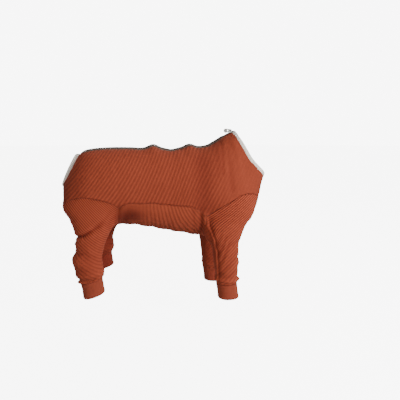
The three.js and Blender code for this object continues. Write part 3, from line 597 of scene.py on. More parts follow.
# Finer folds in millimetres: x, z to x, z, width and height, for the body and for each leg
FINE_BODY = [
    (141, 25, 138, -62, 5.0, -0.9), (150, 34, 150, -50, 6.0, 0.7), (128, 18, 122, -70, 8.0, -0.6),
    (83, -30, 83, -160, 24.0, -1.8), (-240, -20, -262, -110, 16.0, -0.7),
    (-150, -146, -158, -196, 4.5, -1.8), (-141, -150, -150, -196, 3.5, 0.3),
    (-127, -158, -132, -205, 7.0, -0.4),
    (76, -172, 80, -236, 3.5, -1.6), (66, -168, 72, -240, 4.0, 0.8), (52, -160, 60, -236, 4.0, -0.8),
    (86, -178, 92, -256, 3.2, 1.3), (97, -188, 101, -248, 3.0, -1.2),
]
FINE_LEG = {
    "hind": [
        (-276, -230, -247, -221, 2.8, -3.0), (-247, -221, -228, -210, 2.8, -2.6),
        (-228, -210, -206, -197, 3.2, -1.3), (-206, -197, -176, -164, 5.0, -0.6),
        (-280, -222, -224, -202, 5.5, 1.5), (-282, -237, -250, -231, 3.4, 1.8),
        (-282, -244, -262, -241, 2.2, -1.5), (-280, -250, -258, -247, 3.4, 1.2),
        (-282, -274, -250, -270, 4.5, -1.8), (-288, -300, -262, -298, 12.0, 1.2),
        (-276, -318, -240, -328, 6.0, -0.7), (-262, -296, -205, -330, 6.0, 0.8),
        (-236, -256, -200, -288, 6.0, 0.8), (-226, -280, -196, -306, 5.0, -0.9),
        (-288, -352, -262, -352, 5.5, 4.6), (-200, -338, -190, -334, 5.0, 1.5),
        (-236, -348, -220, -342, 2.2, -1.6), (-262, -338, -240, -342, 3.0, -1.0),
    ],
    "front": [
        (114, -236, 160, -205, 5.0, 0.5), (118, -262, 132, -222, 5.0, -0.7),
        (120, -280, 138, -228, 4.6, 0.8), (121, -298, 142, -238, 4.6, -0.9),
        (122, -314, 148, -248, 4.8, 1.0), (122, -330, 152, -258, 5.0, -1.0),
        (123, -342, 158, -272, 5.0, 0.9), (124, -354, 176, -288, 5.0, -0.9),
        (126, -362, 178, -316, 5.0, 0.8), (128, -368, 182, -338, 4.4, -0.8),
        (182, -305, 196, -303, 4.2, -5.6), (180, -322, 196, -320, 6.0, 2.2),
        (180, -361, 196, -361, 4.0, -1.2), (186, -372, 200, -372, 4.6, 4.6),
        (120, -370, 150, -370, 3.2, 1.2), (150, -372, 190, -373, 3.4, 1.3),
    ],
}
# Fuller places that cross a seam, and the fuller front of the left thigh
FULLER = [(-302, -95, -304, -150, 27.0, 4.2), (249, -115, 243, -190, 24.0, 3.6)]
LEFT_THIGH = (-163, -222, -172, -285, 21.0, 14.5)


def crease(p, x0, z0, x1, z1):
    dx, dz = x1 - x0, z1 - z0
    share = np.clip(((p[X] - x0) * dx + (p[Z] - z0) * dz) / (dx * dx + dz * dz), 0, 1)
    return np.hypot(p[X] - x0 - dx * share, p[Z] - z0 - dz * share)


def crease_sum(rows, p):
    out = np.zeros(p.shape[:-1])
    for x0, z0, x1, z1, wide, high in rows:
        out += high * bell(crease(p, x0, z0, x1, z1) / wide)
    return out


# Folds fade towards the middle plane over this many millimetres
FOLD_FREE, MAIN_FOLD_FREE = 30, 24


# The main folds of the solids, in millimetres outwards
def relief(p):
    out = np.zeros(p.shape[:-1])
    for x0, z0, x1, z1, wide, deep in BODY_FOLDS:
        away = crease(p, x0 * BACK_LENGTH, z0 * BODY_DEPTH, x1 * BACK_LENGTH, z1 * BODY_DEPTH)
        out += deep * CLOTH * bell(away / (wide * BACK_LENGTH))
    for leg in LEGS:
        here = np.zeros_like(out)
        for x0, z0, x1, z1, wide, deep in LEG_FOLDS[leg.name]:
            away = crease(p, leg.start_x + x0 * leg.width, HIP_HEIGHT - z0 * leg.length,
                          leg.start_x + x1 * leg.width, HIP_HEIGHT - z1 * leg.length)
            here += deep * CLOTH * bell(away / (wide * leg.width))
        out += np.where(leg.side * p[Y] > 0, here, 0)
    return out * smooth(np.abs(p[Y]) / MAIN_FOLD_FREE)


# The finer folds of the body or of one leg, in millimetres outwards
def fine_folds(p, leg=None):
    if leg is None:
        rows, at, outer_side = FINE_BODY, p, 1
    else:
        rows, at = FINE_LEG[leg.name], p - [leg.step, 0, leg.rise]
        outer_side = 0.35 + 0.65 * smooth(leg.side * (p[Y] - leg.y(p[Z])) / 10 + 0.5)
    return crease_sum(rows, at) * outer_side * smooth(np.abs(p[Y]) / FOLD_FREE)


# Places where the cloth is fuller, also across a seam
def fuller(p, leg, to_first):
    out = crease_sum(FULLER, p) * smooth(np.abs(p[Y]) / FOLD_FREE)
    if leg is not None and leg.name == "hind" and leg.end == "left":
        out += crease_sum([LEFT_THIGH], p) * smooth((to_first - 2) / 20)
    return out


def grid_normals(grid, round_it, side_sign):
    if round_it:
        along = np.roll(grid, -1, 0) - np.roll(grid, 1, 0)
    else:
        along = np.gradient(grid, axis=0)
    across = np.gradient(grid, axis=1)
    return unit(np.cross(along, across)) * side_sign


def from_rows(grid):
    steps = np.linalg.norm(np.diff(grid, axis=1), axis=2)
    first = np.concatenate([np.zeros((len(grid), 1)), np.cumsum(steps, 1)], 1)
    return first, first[:, -1:] - first


# Counts ribs along a measure whose spacing varies: places and the rib spacing at each, in mm
def rib_counter(places, spacings):
    at = np.linspace(-600, 600, 2401)
    spacing = np.interp(at[1:], places, spacings)
    total = np.concatenate([[0], np.cumsum((at[1] - at[0]) / spacing)])
    return lambda measure: np.interp(measure, at, total)


TORSO_LEAN = ([-290, -200, -100, 0, 70, 170, 230], [0.78, 0.66, 0.48, 0.42, 0.54, 0.56, 0.42])
BELLY_LEAN = ([-300, -160, -80, 0, 60, 110, 165, 260], [0.5, 0.25, 0, -0.3, -0.8, -0.8, -0.3, 0.4])
THIGH_X, SHOULDER_X, CUFF_RIB = -235, 150, 3.3
THIGH_RISE = ([-400, -330, -240, -120], [0.62, 0.68, 0.95, 1.3])
torso_count = rib_counter([-300, -60, 20, 90, 160, 260], [8.8, 9.3, 10.2, 11.2, 12.0, 10.0])
belly_count = rib_counter([-180, -40, 120], [10.8, 10.8, 10.4])
hind_count = rib_counter([-360, -300, -230, -120], [11.6, 10.9, 8.5, 7.7])
front_count = rib_counter([-390, -330, -270, -210, -130], [12.6, 11.8, 9.2, 7.1, 6.7])


def torso_ribs(p):
    return torso_count(p[X] - p[Z] * np.interp(p[X], *TORSO_LEAN)), p[Z]


def belly_ribs(p):
    lean = np.interp(p[X], *BELLY_LEAN)
    return belly_count(p[X] - (p[Z] + 180) * lean), p[Z] + 0.7 * np.abs(p[Y])


# The loops' measure along a rib that climbs as it goes ahead
ALONG_LEG = 1.3
# Lean of the front leg's ribs above and below, the height and reach of the change between them,
# and how far the lower ones drop towards the rear seam: drop, start, length and reach
UPPER_LEAN, LOWER_LEAN, CHANGE_Z, CHANGE_REACH = 0.72, 0.78, -190, 90
SEAM_DROP, DROP_FROM, DROP_LONG, DROP_REACH = 26, -38, 90, 15


# Ribs across the thigh; down the front leg they fan out from its rear seam
def leg_ribs(leg):
    def ribs(p):
        x, z = p[X] - leg.step, p[Z]
        if leg.name == "hind":
            return hind_count(z + (x - THIGH_X) * np.interp(z, *THIGH_RISE)), x * ALONG_LEG
        u = x - SHOULDER_X
        up = UPPER_LEAN * u
        low = LOWER_LEAN * u - SEAM_DROP * np.exp(-np.clip(u - DROP_FROM, 0, DROP_LONG) / DROP_REACH)
        part = smooth((CHANGE_Z - z) / CHANGE_REACH)
        return front_count(z - up * (1 - part) - low * part), x * ALONG_LEG
    return ribs


def cuff_ribs(leg):
    def ribs(p):
        return (p[Z] - leg.slant * (p[X] - leg.cuff_x)) / CUFF_RIB, p[X] + p[Y]
    return ribs


def rib_profile(phase, power):
    return (0.5 + 0.5 * np.cos(2 * np.pi * phase)) ** power - 0.4


# Strength of the ribs by height on the legs, and by x along the belly
LEG_STRENGTH = {"hind": ([-350, -300, -250, -210], [0.26, 0.28, 0.40, 0.64]),
                "front": ([-370, -300, -240, -200], [0.34, 0.42, 0.70, 0.86])}
BELLY_STRENGTH = ([-165, -140, -100, -60, -20, 20, 60], [0.4, 0.12, 0.15, 0.6, 0.8, 1.05, 1.15])
# The raised seam down the rear of the front legs: heights and x
RIDGE = ([-380, -329, -286, -248, -219, -190], [124, 121, 117, 109, 98, 88])


# Ribs fade down the legs, and behind the front legs' raised seam
def leg_fade(leg):
    def fade(p):
        strength = np.interp(p[Z], *LEG_STRENGTH[leg.name])
        if leg.name == "front":
            ahead = p[X] - leg.step - np.interp(p[Z], *RIDGE)
            strength = strength * np.interp(ahead, [-2, 16], [0.2, 1])
        return strength
    return fade


# Ribs are faint at the shoulder and neck: how far they fade, from which x, over what reach, and
# how much the line of the fade leans
FADE, FADE_FROM, FADE_REACH, FADE_LEAN = 0.82, 70, 90, 0.25


def torso_fade(p):
    return 1 - FADE * smooth((p[X] - FADE_FROM + FADE_LEAN * p[Z]) / FADE_REACH)


# Soft shade painted into the cloth's colour, at hollows and where the light falls weaker: x, z, half length,
# half height, amount
SHADES = [
    (-148, -185, 15, 25, 1.0), (-134, -182, 22, 25, 1.0), (-115, -177, 27, 22, 1.0),
    (72, -196, 7, 34, 0.55), (-307, -100, 25, 52, 0.9), (-296, -190, 20, 60, 0.35),
    (264, -128, 22, 46, 0.35), (-238, -300, 45, 48, 0.28),
]
# Shade painted on the inner sides of the legs
INNER_SHADE = {"hind": 0.95, "front": 0.45}


def shade_of(p):
    spots = [amount * np.exp(-(((p[X] - x) / long) ** 2) - ((p[Z] - z) / high) ** 2)
             for x, z, long, high, amount in SHADES]
    return np.maximum.reduce(spots)


# Low unevenness of worn cloth, the same on each run
def unevenness(p):
    x, y, z = p[X], p[Y], p[Z]
    return (0.35 * np.sin(x / 17 + z / 29 + y / 31) * np.sin(z / 21 - x / 37 + 1.3)
            + 0.22 * np.sin(x / 9 - z / 13 + 0.6) * np.sin(y / 11 + z / 15)
            + 0.12 * np.sin(x / 4.6 + z / 6.1 + 2.0) * np.sin(z / 5.3 - y / 7.9))


def add_object(name, data):
    thing = bpy.data.objects.new(name, data)
    bpy.context.scene.collection.objects.link(thing)
    return thing


def mesh_object(name, points, faces, attributes=None):
    sizes = np.concatenate([np.full(len(f), f.shape[1]) for f in faces])
    corners = np.concatenate([f.reshape(-1) for f in faces])
    mesh = bpy.data.meshes.new(name)
    mesh.vertices.add(len(points))
    mesh.vertices.foreach_set("co", (np.asarray(points) * MM).astype(np.float32).reshape(-1))
    mesh.loops.add(len(corners))
    mesh.loops.foreach_set("vertex_index", corners.astype(np.int32))
    mesh.polygons.add(len(sizes))
    starts = np.concatenate([[0], np.cumsum(sizes)[:-1]])
    mesh.polygons.foreach_set("loop_start", starts.astype(np.int32))
    mesh.update(calc_edges=True)
    mesh.validate()
    mesh.shade_smooth()
    for key, values in (attributes or {}).items():
        layer = mesh.attributes.new(key, "FLOAT", "POINT")
        layer.data.foreach_set("value", np.asarray(values, np.float32).reshape(-1))
    return add_object(name, mesh)


def quads(grid, round_it=False):
    nxt = np.roll(grid, -1, 0) if round_it else grid[1:]
    here = grid if round_it else grid[:-1]
    return np.stack([here[:, :-1], nxt[:, :-1], nxt[:, 1:], here[:, 1:]], -1).reshape(-1, 4)


def strip(outer, inner, flip):
    a, b, c = outer[:-1:2], outer[1::2], outer[2::2]
    i, j = inner[:-1], inner[1:]
    faces = np.concatenate([np.stack(t, -1) for t in ((a, i, b), (i, j, b), (b, j, c))])
    return faces[:, ::-1] if flip else faces


# A closed piece from an outer grid and an inner one of half as many spans
def shell(name, outer, inner, round_it, flip, attributes):
    nc, nr = outer.shape[:2]
    mc, mr = inner.shape[:2]
    o = np.arange(nc * nr).reshape(nc, nr)
    i = nc * nr + np.arange(mc * mr).reshape(mc, mr)
    faces = [quads(o, round_it), quads(i, round_it)[:, ::-1]]
    wrap_o = np.concatenate([o, o[:1]]) if round_it else o
    wrap_i = np.concatenate([i, i[:1]]) if round_it else i
    faces += [strip(wrap_o[:, 0], wrap_i[:, 0], False), strip(wrap_o[:, -1], wrap_i[:, -1], True)]
    if not round_it:
        faces += [strip(o[0], i[0], True), strip(o[-1], i[-1], False)]
    if flip:
        faces = [f[:, ::-1] for f in faces]
    points = np.concatenate([outer.reshape(-1, 3), inner.reshape(-1, 3)])
    return mesh_object(name, points, faces, attributes)


# Beside a seam the cloth dips, and then swells: depth and width, height, place and width
DIP, DIP_WIDE, SWELL, SWELL_AT, SWELL_WIDE = 0.55, 1.5, 0.3, 4.6, 2.4
# Depth of a fold with two thirds of the full painted shade, and height of one that gets the full painted
# highlight
HOLLOW_DEPTH, RAISED_HEIGHT = 2.8, 3.4
# Distances from a seam over which folds and ribs fade, and how wide its shade is
FOLD_EDGE, RIB_EDGE, SEAM_SHADE = 5, 2.5, 1.6


# Moves the grid's ends back by half of the gap between two panels
def open_gap(base, fine):
    base[0] += unit(fine[1] - fine[0]) * VISIBLE_GAP / 2
    base[-1] += unit(fine[-2] - fine[-1]) * VISIBLE_GAP / 2


# A cloth panel round its form: folds, puckers beside its seams, ribs, and a smooth inside
def cloth(name, grid, ribs, depth, times, round_it=False, flip=False, thickness=CLOTH, leg=None,
          extra=None, hems=(1.0, 1.0), profile=0.8, fade=None, sunk=None):
    sign = 1
    fine = refine(grid, times[0], times[1], round_it)
    normals = grid_normals(fine, round_it, sign)
    # A few points tell whether the grid's normals point out of the form
    sample = (slice(None, None, 37), slice(2, -2, 11))
    if (normals[sample] * slope(fine[sample])).sum() < 0:
        normals = -normals
        sign = -1
    to_first, to_last = from_rows(fine)
    to_edge = np.minimum(to_first, to_last)
    narrow = fine_folds(fine, leg) * smooth(to_edge / FOLD_EDGE)
    broad = relief(fine)
    if extra is not None:
        narrow = narrow + extra(fine, to_first, to_last)
    lift = narrow + broad + fuller(fine, leg, to_first) + unevenness(fine)
    if sunk is not None:
        lift = lift - sunk(fine, to_first)
    for away, hem in ((to_first, hems[0]), (to_last, hems[1])):
        lift += hem * (-DIP * bell(away / DIP_WIDE) + SWELL * bell((away - SWELL_AT) / SWELL_WIDE))
    base = fine + normals * lift[..., None]
    open_gap(base.swapaxes(0, 1), fine.swapaxes(0, 1))
    if not round_it:
        open_gap(base, fine)
    surface_normals = grid_normals(base, round_it, sign)
    phase, along = ribs(fine)
    strength = np.ones_like(phase) if fade is None else fade(fine)
    quiet = strength * smooth(to_edge / RIB_EDGE)
    outer = base + surface_normals * (depth * rib_profile(phase, profile) * quiet)[..., None]
    inner_grid = base[::2, ::2] - surface_normals[::2, ::2] * thickness
    # Painted shade in the knit's colour: darker in fold hollows, at the shade spots and on the legs' inner
    # sides
    shaded = narrow + 0.3 * broad
    hollow = np.maximum(1 - np.exp(np.minimum(shaded, 0) / HOLLOW_DEPTH), shade_of(fine))
    if leg is not None:
        inner_side = leg.side * (leg.y(fine[Z]) - fine[Y])
        hollow = np.maximum(hollow, INNER_SHADE[leg.name] * smooth(inner_side / 16 + 0.4))
    # Painted highlight: raised folds are made lighter in colour
    raised = np.clip(shaded / RAISED_HEIGHT, 0, 1)
    seam = bell(to_edge / SEAM_SHADE)
    attributes = {}
    for key, values in (("rib", phase), ("along", along), ("hollow", hollow), ("seam", seam),
                        ("strength", strength), ("raised", raised)):
        attributes[key] = np.concatenate([values.reshape(-1), values[::2, ::2].reshape(-1)])
    thing = shell(name, outer, inner_grid, round_it, flip, attributes)
    return thing, outer, surface_normals


# Rings of points round paths, which run along the last axis but one
WIRE_SIDES = 5


def wire_rings(paths, normals, radius):
    tangent = unit(np.gradient(paths, axis=-2))
    lateral = unit(np.cross(tangent, normals))
    up = np.cross(lateral, tangent)
    turn = np.arange(WIRE_SIDES) * 2 * np.pi / WIRE_SIDES
    return (paths[..., None, :] + lateral[..., None, :] * (np.cos(turn) * radius)[:, None]
            + up[..., None, :] * (np.sin(turn) * radius)[:, None])


# Small tubes along many short paths of the same length: paths is (n, k, 3)
def tubes(name, paths, normals, radius):
    rings = wire_rings(paths, normals, radius)
    index = np.arange(rings.size // 3).reshape(rings.shape[:3])
    nxt = np.roll(index, -1, 2)
    walls = np.stack([index[:, :-1], nxt[:, :-1], nxt[:, 1:], index[:, 1:]], -1).reshape(-1, 4)
    caps = np.concatenate([index[:, 0, ::-1], index[:, -1]])
    return mesh_object(name, rings.reshape(-1, 3), [walls, caps])


def line_at(line, places, round_it=False):
    count = len(line)
    if round_it:
        places = places % count
    i = np.minimum(places.astype(int), count - 1 if round_it else count - 2)
    u = (places - i)[:, None]
    return line[i] * (1 - u) + line[(i + 1) % count] * u


# How deep a stitch's ends go in, and how far a seam stitch stands off the cloth
STITCH_SUNK, STITCH_LIFT = 0.25, 0.12


# Thread stitches across seams. Each side of a seam is a line of points and their normals.
def seam_stitches(name, seams, spacing=3.0, radius=0.3):
    paths, ups = [], []
    for (a, a_normals), (b, b_normals) in seams:
        lengths = lengths_along((a + b) / 2)
        at = np.interp(np.arange(spacing / 2, lengths[-1], spacing), lengths, np.arange(len(lengths)))
        pa, pb, ma, mb = (line_at(q, at) for q in (a, b, a_normals, b_normals))
        up = unit(ma + mb)
        sunk, lift = up * STITCH_SUNK, up * STITCH_LIFT
        paths.append(np.stack([pa - sunk, pa * 0.75 + pb * 0.25 + lift,
                               pa * 0.25 + pb * 0.75 + lift, pb - sunk], 1))
        ups.append(np.repeat(up[:, None], 4, 1))
    return tubes(name, np.concatenate(paths), np.concatenate(ups), radius)


# A running stitch along a line of points
def running_stitch(name, lines, length=2.4, gap=0.9, radius=0.26, lift=STITCH_LIFT):
    paths, ups = [], []
    for line, normal in lines:
        lengths = lengths_along(line)
        start = np.arange(gap, lengths[-1] - length - gap, length + gap)
        place = start[:, None] + length * np.array([0, 0.3, 0.7, 1.0])
        at = np.interp(place, lengths, np.arange(len(lengths)))
        p = line_at(line, at.reshape(-1)).reshape(*at.shape, 3)
        up = unit(line_at(normal, at.reshape(-1)).reshape(*at.shape, 3))
        rise = np.array([-STITCH_SUNK, lift, lift, -STITCH_SUNK])[None, :, None]
        paths.append(p + up * rise)
        ups.append(up)
    return tubes(name, np.concatenate(paths), np.concatenate(ups), radius)


# Materials
def new_material(name):
    material = bpy.data.materials.new(name)
    material.use_nodes = True
    material.node_tree.nodes.clear()
    return material, Nodes(material.node_tree)


def times(colour, share):
    return tuple(min(1, c * share) for c in colour)


class Nodes:
    def __init__(self, tree):
        self.tree = tree

    def add(self, kind, **settings):
        node = self.tree.nodes.new(kind)
        for key, value in settings.items():
            setattr(node, key, value)
        return node

    def link(self, source, target):
        self.tree.links.new(source, target)

    def feed(self, socket, value):
        if isinstance(value, bpy.types.NodeSocket):
            self.link(value, socket)
        else:
            socket.default_value = value

    def math(self, operation, a, b=0.0, c=0.0):
        node = self.add("ShaderNodeMath", operation=operation)
        for socket, value in zip(node.inputs, (a, b, c)):
            self.feed(socket, value)
        return node.outputs[0]

    def times(self, a, b):
        return self.math("MULTIPLY", a, b)

    # A wave between 0 and 1, whose measure is counted in turns
    def cycle(self, operation, turns):
        return self.math("MULTIPLY_ADD", self.math(operation, self.times(turns, 2 * math.pi)), 0.5, 0.5)

    # Distance from the middle of the unit that the measure is in
    def tent(self, measure):
        return self.math("ABSOLUTE", self.math("SUBTRACT", self.math("FRACT", measure), 0.5))

    def attribute(self, name):
        return self.add("ShaderNodeAttribute", attribute_name=name).outputs["Fac"]

    def noise(self, scale, detail=3.0, roughness=0.55):
        node = self.add("ShaderNodeTexNoise")
        for key, value in (("Scale", scale), ("Detail", detail), ("Roughness", roughness)):
            node.inputs[key].default_value = value
        self.link(self.add("ShaderNodeTexCoord").outputs["Object"], node.inputs["Vector"])
        return node.outputs["Fac"]

    def mix(self, factor, a, b):
        node = self.add("ShaderNodeMix", data_type="RGBA")
        self.feed(node.inputs[0], factor)
        for socket, value in ((node.inputs[6], a), (node.inputs[7], b)):
            self.feed(socket, value if isinstance(value, bpy.types.NodeSocket) else (*value, 1))
        return node.outputs[2]

    def bump(self, height, distance, strength=1.0, normal=None):
        node = self.add("ShaderNodeBump")
        node.inputs["Strength"].default_value = strength
        node.inputs["Distance"].default_value = distance
        self.link(height, node.inputs["Height"])
        if normal is not None:
            self.link(normal, node.inputs["Normal"])
        return node.outputs[0]

    def surface(self, colour, roughness, normal=None, **values):
        shader = self.add("ShaderNodeBsdfPrincipled")
        output = self.add("ShaderNodeOutputMaterial")
        self.link(shader.outputs[0], output.inputs[0])
        self.feed(shader.inputs["Base Color"],
                  colour if isinstance(colour, bpy.types.NodeSocket) else (*colour, 1))
        self.feed(shader.inputs["Roughness"], roughness)
        if normal is not None:
            self.link(normal, shader.inputs["Normal"])
        for key, value in values.items():
            shader.inputs[key.replace("_", " ")].default_value = value
        return shader


# Shares of dark stitches, clouds, heather, painted shade in hollows, darker seams and painted highlight on
# raised folds in a knit's colour
STITCH_MIX, CLOUD_MIX, HEATHER_MIX, PAINTED_SHADE_MIX, SEAM_MIX, HIGHLIGHT_MIX = 0.22, 0.16, 0.2, 0.8, 0.22, 0.5


# Rib knit: colour and bump follow the ribs, with V-shaped loops between them
def knit_material(name, colour, contrast, profile=0.8, wales=3.0, loop=1.7, deep=0.5,
                  sheen=(0.9, 0.45, 0.3, 1)):
    material, n = new_material(name)
    # Painted highlight and shade on the ribs: ridges lighter and grooves darker; light is the painted
    # highlight, and dark the shaded colour for stitches, seams and painted shade
    ridge, groove, light, warm, cool = (times(colour, share) for share in (
        1 + contrast, 1 - contrast * 0.8, 1.45, 1.18, 0.86))
    dark = tuple(c * deep * share for c, share in zip(colour, (1.15, 0.72, 0.9)))
    rib, along = n.attribute("rib"), n.attribute("along")
    crest = n.math("POWER", n.cycle("COSINE", rib), profile)
    tent = n.tent(n.times(rib, wales))
    loops = n.cycle("SINE", n.math("ADD", n.math("DIVIDE", along, loop), n.times(tent, 1.1)))
    wale = n.math("SUBTRACT", 1.0, n.math("POWER", n.times(tent, 2.0), 3.0))
    stitch = n.times(loops, wale)
    cloud, heather = n.noise(9.0, 4.0), n.noise(900.0, 2.0)
    lint = n.noise(260.0, 5.0, 0.7)
    shade = n.mix(n.attribute("strength"), colour, n.mix(crest, groove, ridge))
    shade = n.mix(n.times(n.math("SUBTRACT", 1.0, stitch), STITCH_MIX), shade, dark)
    shade = n.mix(CLOUD_MIX, shade, n.mix(cloud, cool, warm))
    shade = n.mix(n.times(heather, HEATHER_MIX), shade, warm)
    # Painted shade in hollows, and darker lines along seams, towards the dark colour
    painted_shade_and_seam = n.math("MAXIMUM", n.times(n.attribute("hollow"), PAINTED_SHADE_MIX),
                  n.times(n.attribute("seam"), SEAM_MIX))
    shade = n.mix(painted_shade_and_seam, shade, dark)
    # Painted highlight on raised folds, towards the lighter colour
    shade = n.mix(n.times(n.attribute("raised"), HIGHLIGHT_MIX), shade, light)
    fuzz = n.bump(n.math("ADD", n.times(lint, 0.6), n.times(heather, 0.4)), 0.0004, 0.5)
    normal = n.bump(stitch, 0.0005, 0.8, fuzz)
    rough = n.math("MULTIPLY_ADD", lint, 0.1, 0.86)
    shader = n.surface(shade, rough, normal, Sheen_Weight=0.04, Sheen_Roughness=0.5, Specular_IOR_Level=0.12)
    shader.inputs["Sheen Tint"].default_value = sheen
    return material


def thread_material(name, colour):
    material, n = new_material(name)
    fibre, cloud = n.noise(1600.0, 3.0, 0.6), n.noise(40.0, 2.0)
    tone = n.mix(fibre, times(colour, 0.7), times(colour, 1.2))
    tone = n.mix(n.times(cloud, 0.3), tone, times(colour, 0.85))
    n.surface(tone, n.math("MULTIPLY_ADD", fibre, 0.2, 0.6), n.bump(fibre, 0.0002, 0.6),
              Specular_IOR_Level=0.3)
    return material


def tape_material(name, colour):
    material, n = new_material(name)
    across, along = n.attribute("rib"), n.attribute("along")
    tent = n.tent(n.math("DIVIDE", across, 2.4))
    herring = n.cycle("SINE", n.math("ADD", n.math("DIVIDE", along, 0.8), n.times(tent, 3.0)))
    cloud = n.noise(60.0, 4.0)
    tone = n.mix(herring, times(colour, 0.65), times(colour, 1.2))
    tone = n.mix(n.times(cloud, 0.35), tone, times(colour, 0.8))
    n.surface(tone, n.math("MULTIPLY_ADD", cloud, 0.2, 0.62), n.bump(herring, 0.00025, 0.8),
              Specular_IOR_Level=0.3)
    return material


def coil_material(name, colour):
    material, n = new_material(name)
    cloud, fine = n.noise(90.0, 3.0), n.noise(700.0, 3.0)
    tone = n.mix(cloud, times(colour, 0.75), times(colour, 1.25))
    n.surface(tone, n.math("MULTIPLY_ADD", fine, 0.25, 0.28), n.bump(fine, 0.00008, 0.5),
              Specular_IOR_Level=0.5)
    return material


def metal_material(name, colour):
    material, n = new_material(name)
    cloud, fine, scratch = n.noise(140.0, 4.0), n.noise(900.0, 5.0, 0.7), n.noise(420.0, 6.0, 0.8)
    tone = n.mix(n.times(cloud, 0.5), colour, times(colour, 0.72))
    tone = n.mix(n.times(scratch, 0.15), tone, (0.25, 0.24, 0.22))
    rough = n.math("MULTIPLY_ADD", fine, 0.22, 0.24)
    n.surface(tone, rough, n.bump(scratch, 0.00005, 0.35), Metallic=0.9)
    return material


RUST = (0.300, 0.055, 0.026)
torso_knit = knit_material("torso_rib_knit", RUST, 0.30, 1.5, deep=0.34)
# The belly's knit is painted lighter than the rust, to make up for the weaker light on the belly that faces
# down
belly_knit = knit_material("belly_rib_knit", (0.352, 0.066, 0.031), 0.36, 1.0, deep=0.25)
leg_knit = knit_material("leg_rib_knit", RUST, 1.05, 0.9, 2.0, 1.5, deep=0.38)
cuff_knit = knit_material("cuff_knit", (0.295, 0.058, 0.029), 0.26, 1.0, 1.0, 1.4)
cream_knit = knit_material("cream_binding", (0.97, 0.91, 0.77), 0.04, 0.8, 1.0, 1.4, 0.92, (1, 0.97, 0.9, 1))
rust_thread = thread_material("rust_thread", (0.24, 0.045, 0.020))
cream_thread = thread_material("cream_thread", (0.62, 0.57, 0.45))
taupe_thread = thread_material("taupe_thread", (0.10, 0.08, 0.065))
tape_cloth = tape_material("zip_tape", (0.145, 0.098, 0.076))
coil_nylon = coil_material("zip_coil", (0.105, 0.078, 0.064))
zip_metal = metal_material("zip_metal", (0.40, 0.385, 0.355))


def finish_piece(thing, material, body, slot, *nodes):
    thing.data.materials.append(material)
    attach(thing, body)
    if nodes:
        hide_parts(*nodes)
    return thing


# Zip line: stations evenly spaced from the tail binding to the end of the neck binding
neck_step = float(np.linalg.norm(back_point(LAST_RING, 0.0) - back_point(LAST_RING - 1.0, 0.0)))
zip_end = LAST_RING + (NECK_BINDING - 1) / neck_step
zip_s = np.linspace(0.02, zip_end, 900)
zip_dense = back_point(zip_s, np.zeros_like(zip_s))
zip_length = lengths_along(zip_dense)
ZIP_TOTAL = float(zip_length[-1])
# How far the zip stands proud and the cloth beside it lies lower, and over what distance
ZIP_RISE, ZIP_SINK, ZIP_SPREAD = 2.4, 1.4, 14
# Lengths that stay level at the slider and at the tail
SLIDER_REACH, TAIL_REACH = 34, 2


def zip_zone(length):
    return (smooth((ZIP_TOTAL - SLIDER_REACH - length) / ZIP_SPREAD)
            * smooth((length - TAIL_REACH) / ZIP_SPREAD))


def beside_zip(p, to_first):
    zone = np.interp(p[X], zip_dense[:, 0], zip_zone(zip_length))
    return ZIP_SINK * zone * bell(to_first / ZIP_SPREAD)


# Outer surface and normals of each cloth piece, and how much finer it is than its grid
PANEL = {}
SIDE_TIMES = BELLY_TIMES = (2, 3)
LEG_TIMES = {"hind": (3, 4), "front": (2, 4)}
CUFF_TIMES = (2, 6)
for end in ("right", "left"):
    piece, *PANEL["side", end] = cloth(f"side_panel_knit_{end}", SIDES[end], torso_ribs, 0.6, SIDE_TIMES,
                                       flip=end == "right", hems=(0.5, 1.0), profile=1.5,
                                       fade=torso_fade, sunk=beside_zip)
    finish_piece(piece, torso_knit, "suit", "rib_knit", f"side_panel_{end}")


# The low edge of the belly panel is slightly scalloped between the legs
def belly_scallops(p, to_first, to_last):
    x = p[X]
    middle = bell(p[Y] / 42) * smooth((x + 165) / 30) * smooth((85 - x) / 20)
    scallops = 1.1 * np.sin(x / 7.2 + 0.5) + 0.3 * np.sin(x / 3.7 + 1.7)
    return middle * smooth(np.minimum(to_first, to_last) / 8) * scallops


BELLY_MID = belly_grid()
piece, *PANEL["belly"] = cloth("belly_panel_knit", BELLY_MID, belly_ribs, 1.0, BELLY_TIMES, flip=True,
                               extra=belly_scallops, fade=lambda p: np.interp(p[X], *BELLY_STRENGTH))
finish_piece(piece, belly_knit, "suit", "rib_knit", "belly_panel")


# Gathers above the cuff: place, width, height, pleats, and fullness at the hind legs' rear
GATHER_AT, GATHER_WIDE, GATHER_HIGH, PLEAT_HIGH, REAR_FULL = 5, 3.8, 1.0, 0.4, 2.6
# The raised seam: its height and width, and depth, place and width of the dip ahead of it
RIDGE_HIGH, RIDGE_WIDE, RIDGE_DIP, RIDGE_DIP_AT, RIDGE_DIP_WIDE = 2.6, 1.9, 1.3, 5.8, 2.6


# Gathers and a soft overhang above the cuff, and the raised seam down the front legs' rear
def leg_extra(leg):
    def extra(p, to_first, to_last):
        turn = np.linspace(0, 2 * np.pi, len(p), endpoint=False)[:, None]
        pleats = np.sin(turn * 9 + 1.2 * np.sin(turn * 4)) + 0.6 * np.sin(turn * 15 + 1)
        rear = REAR_FULL * np.clip(np.cos(turn), 0, 1) ** 2 if leg.name == "hind" else 0
        out = (GATHER_HIGH + PLEAT_HIGH * pleats + rear) * bell((to_last - GATHER_AT) / GATHER_WIDE)
        if leg.name == "front":
            around = np.cumsum(np.linalg.norm(np.roll(p, -1, 0) - p, axis=2), 0)
            behind = slice(0, len(p) // 4)
            ahead = p[behind, :, 0] - np.interp(p[behind, :, 2], *RIDGE) - leg.step
            away = around - [np.interp(0, ahead[:, j], around[behind, j]) for j in range(p.shape[1])]
            fade = smooth((to_first - 4) / 16) * smooth((to_last - 1) / 5)
            out = out + fade * (RIDGE_HIGH * bell(away / RIDGE_WIDE)
                                - RIDGE_DIP * bell((away - RIDGE_DIP_AT) / RIDGE_DIP_WIDE))
        return out
    return extra


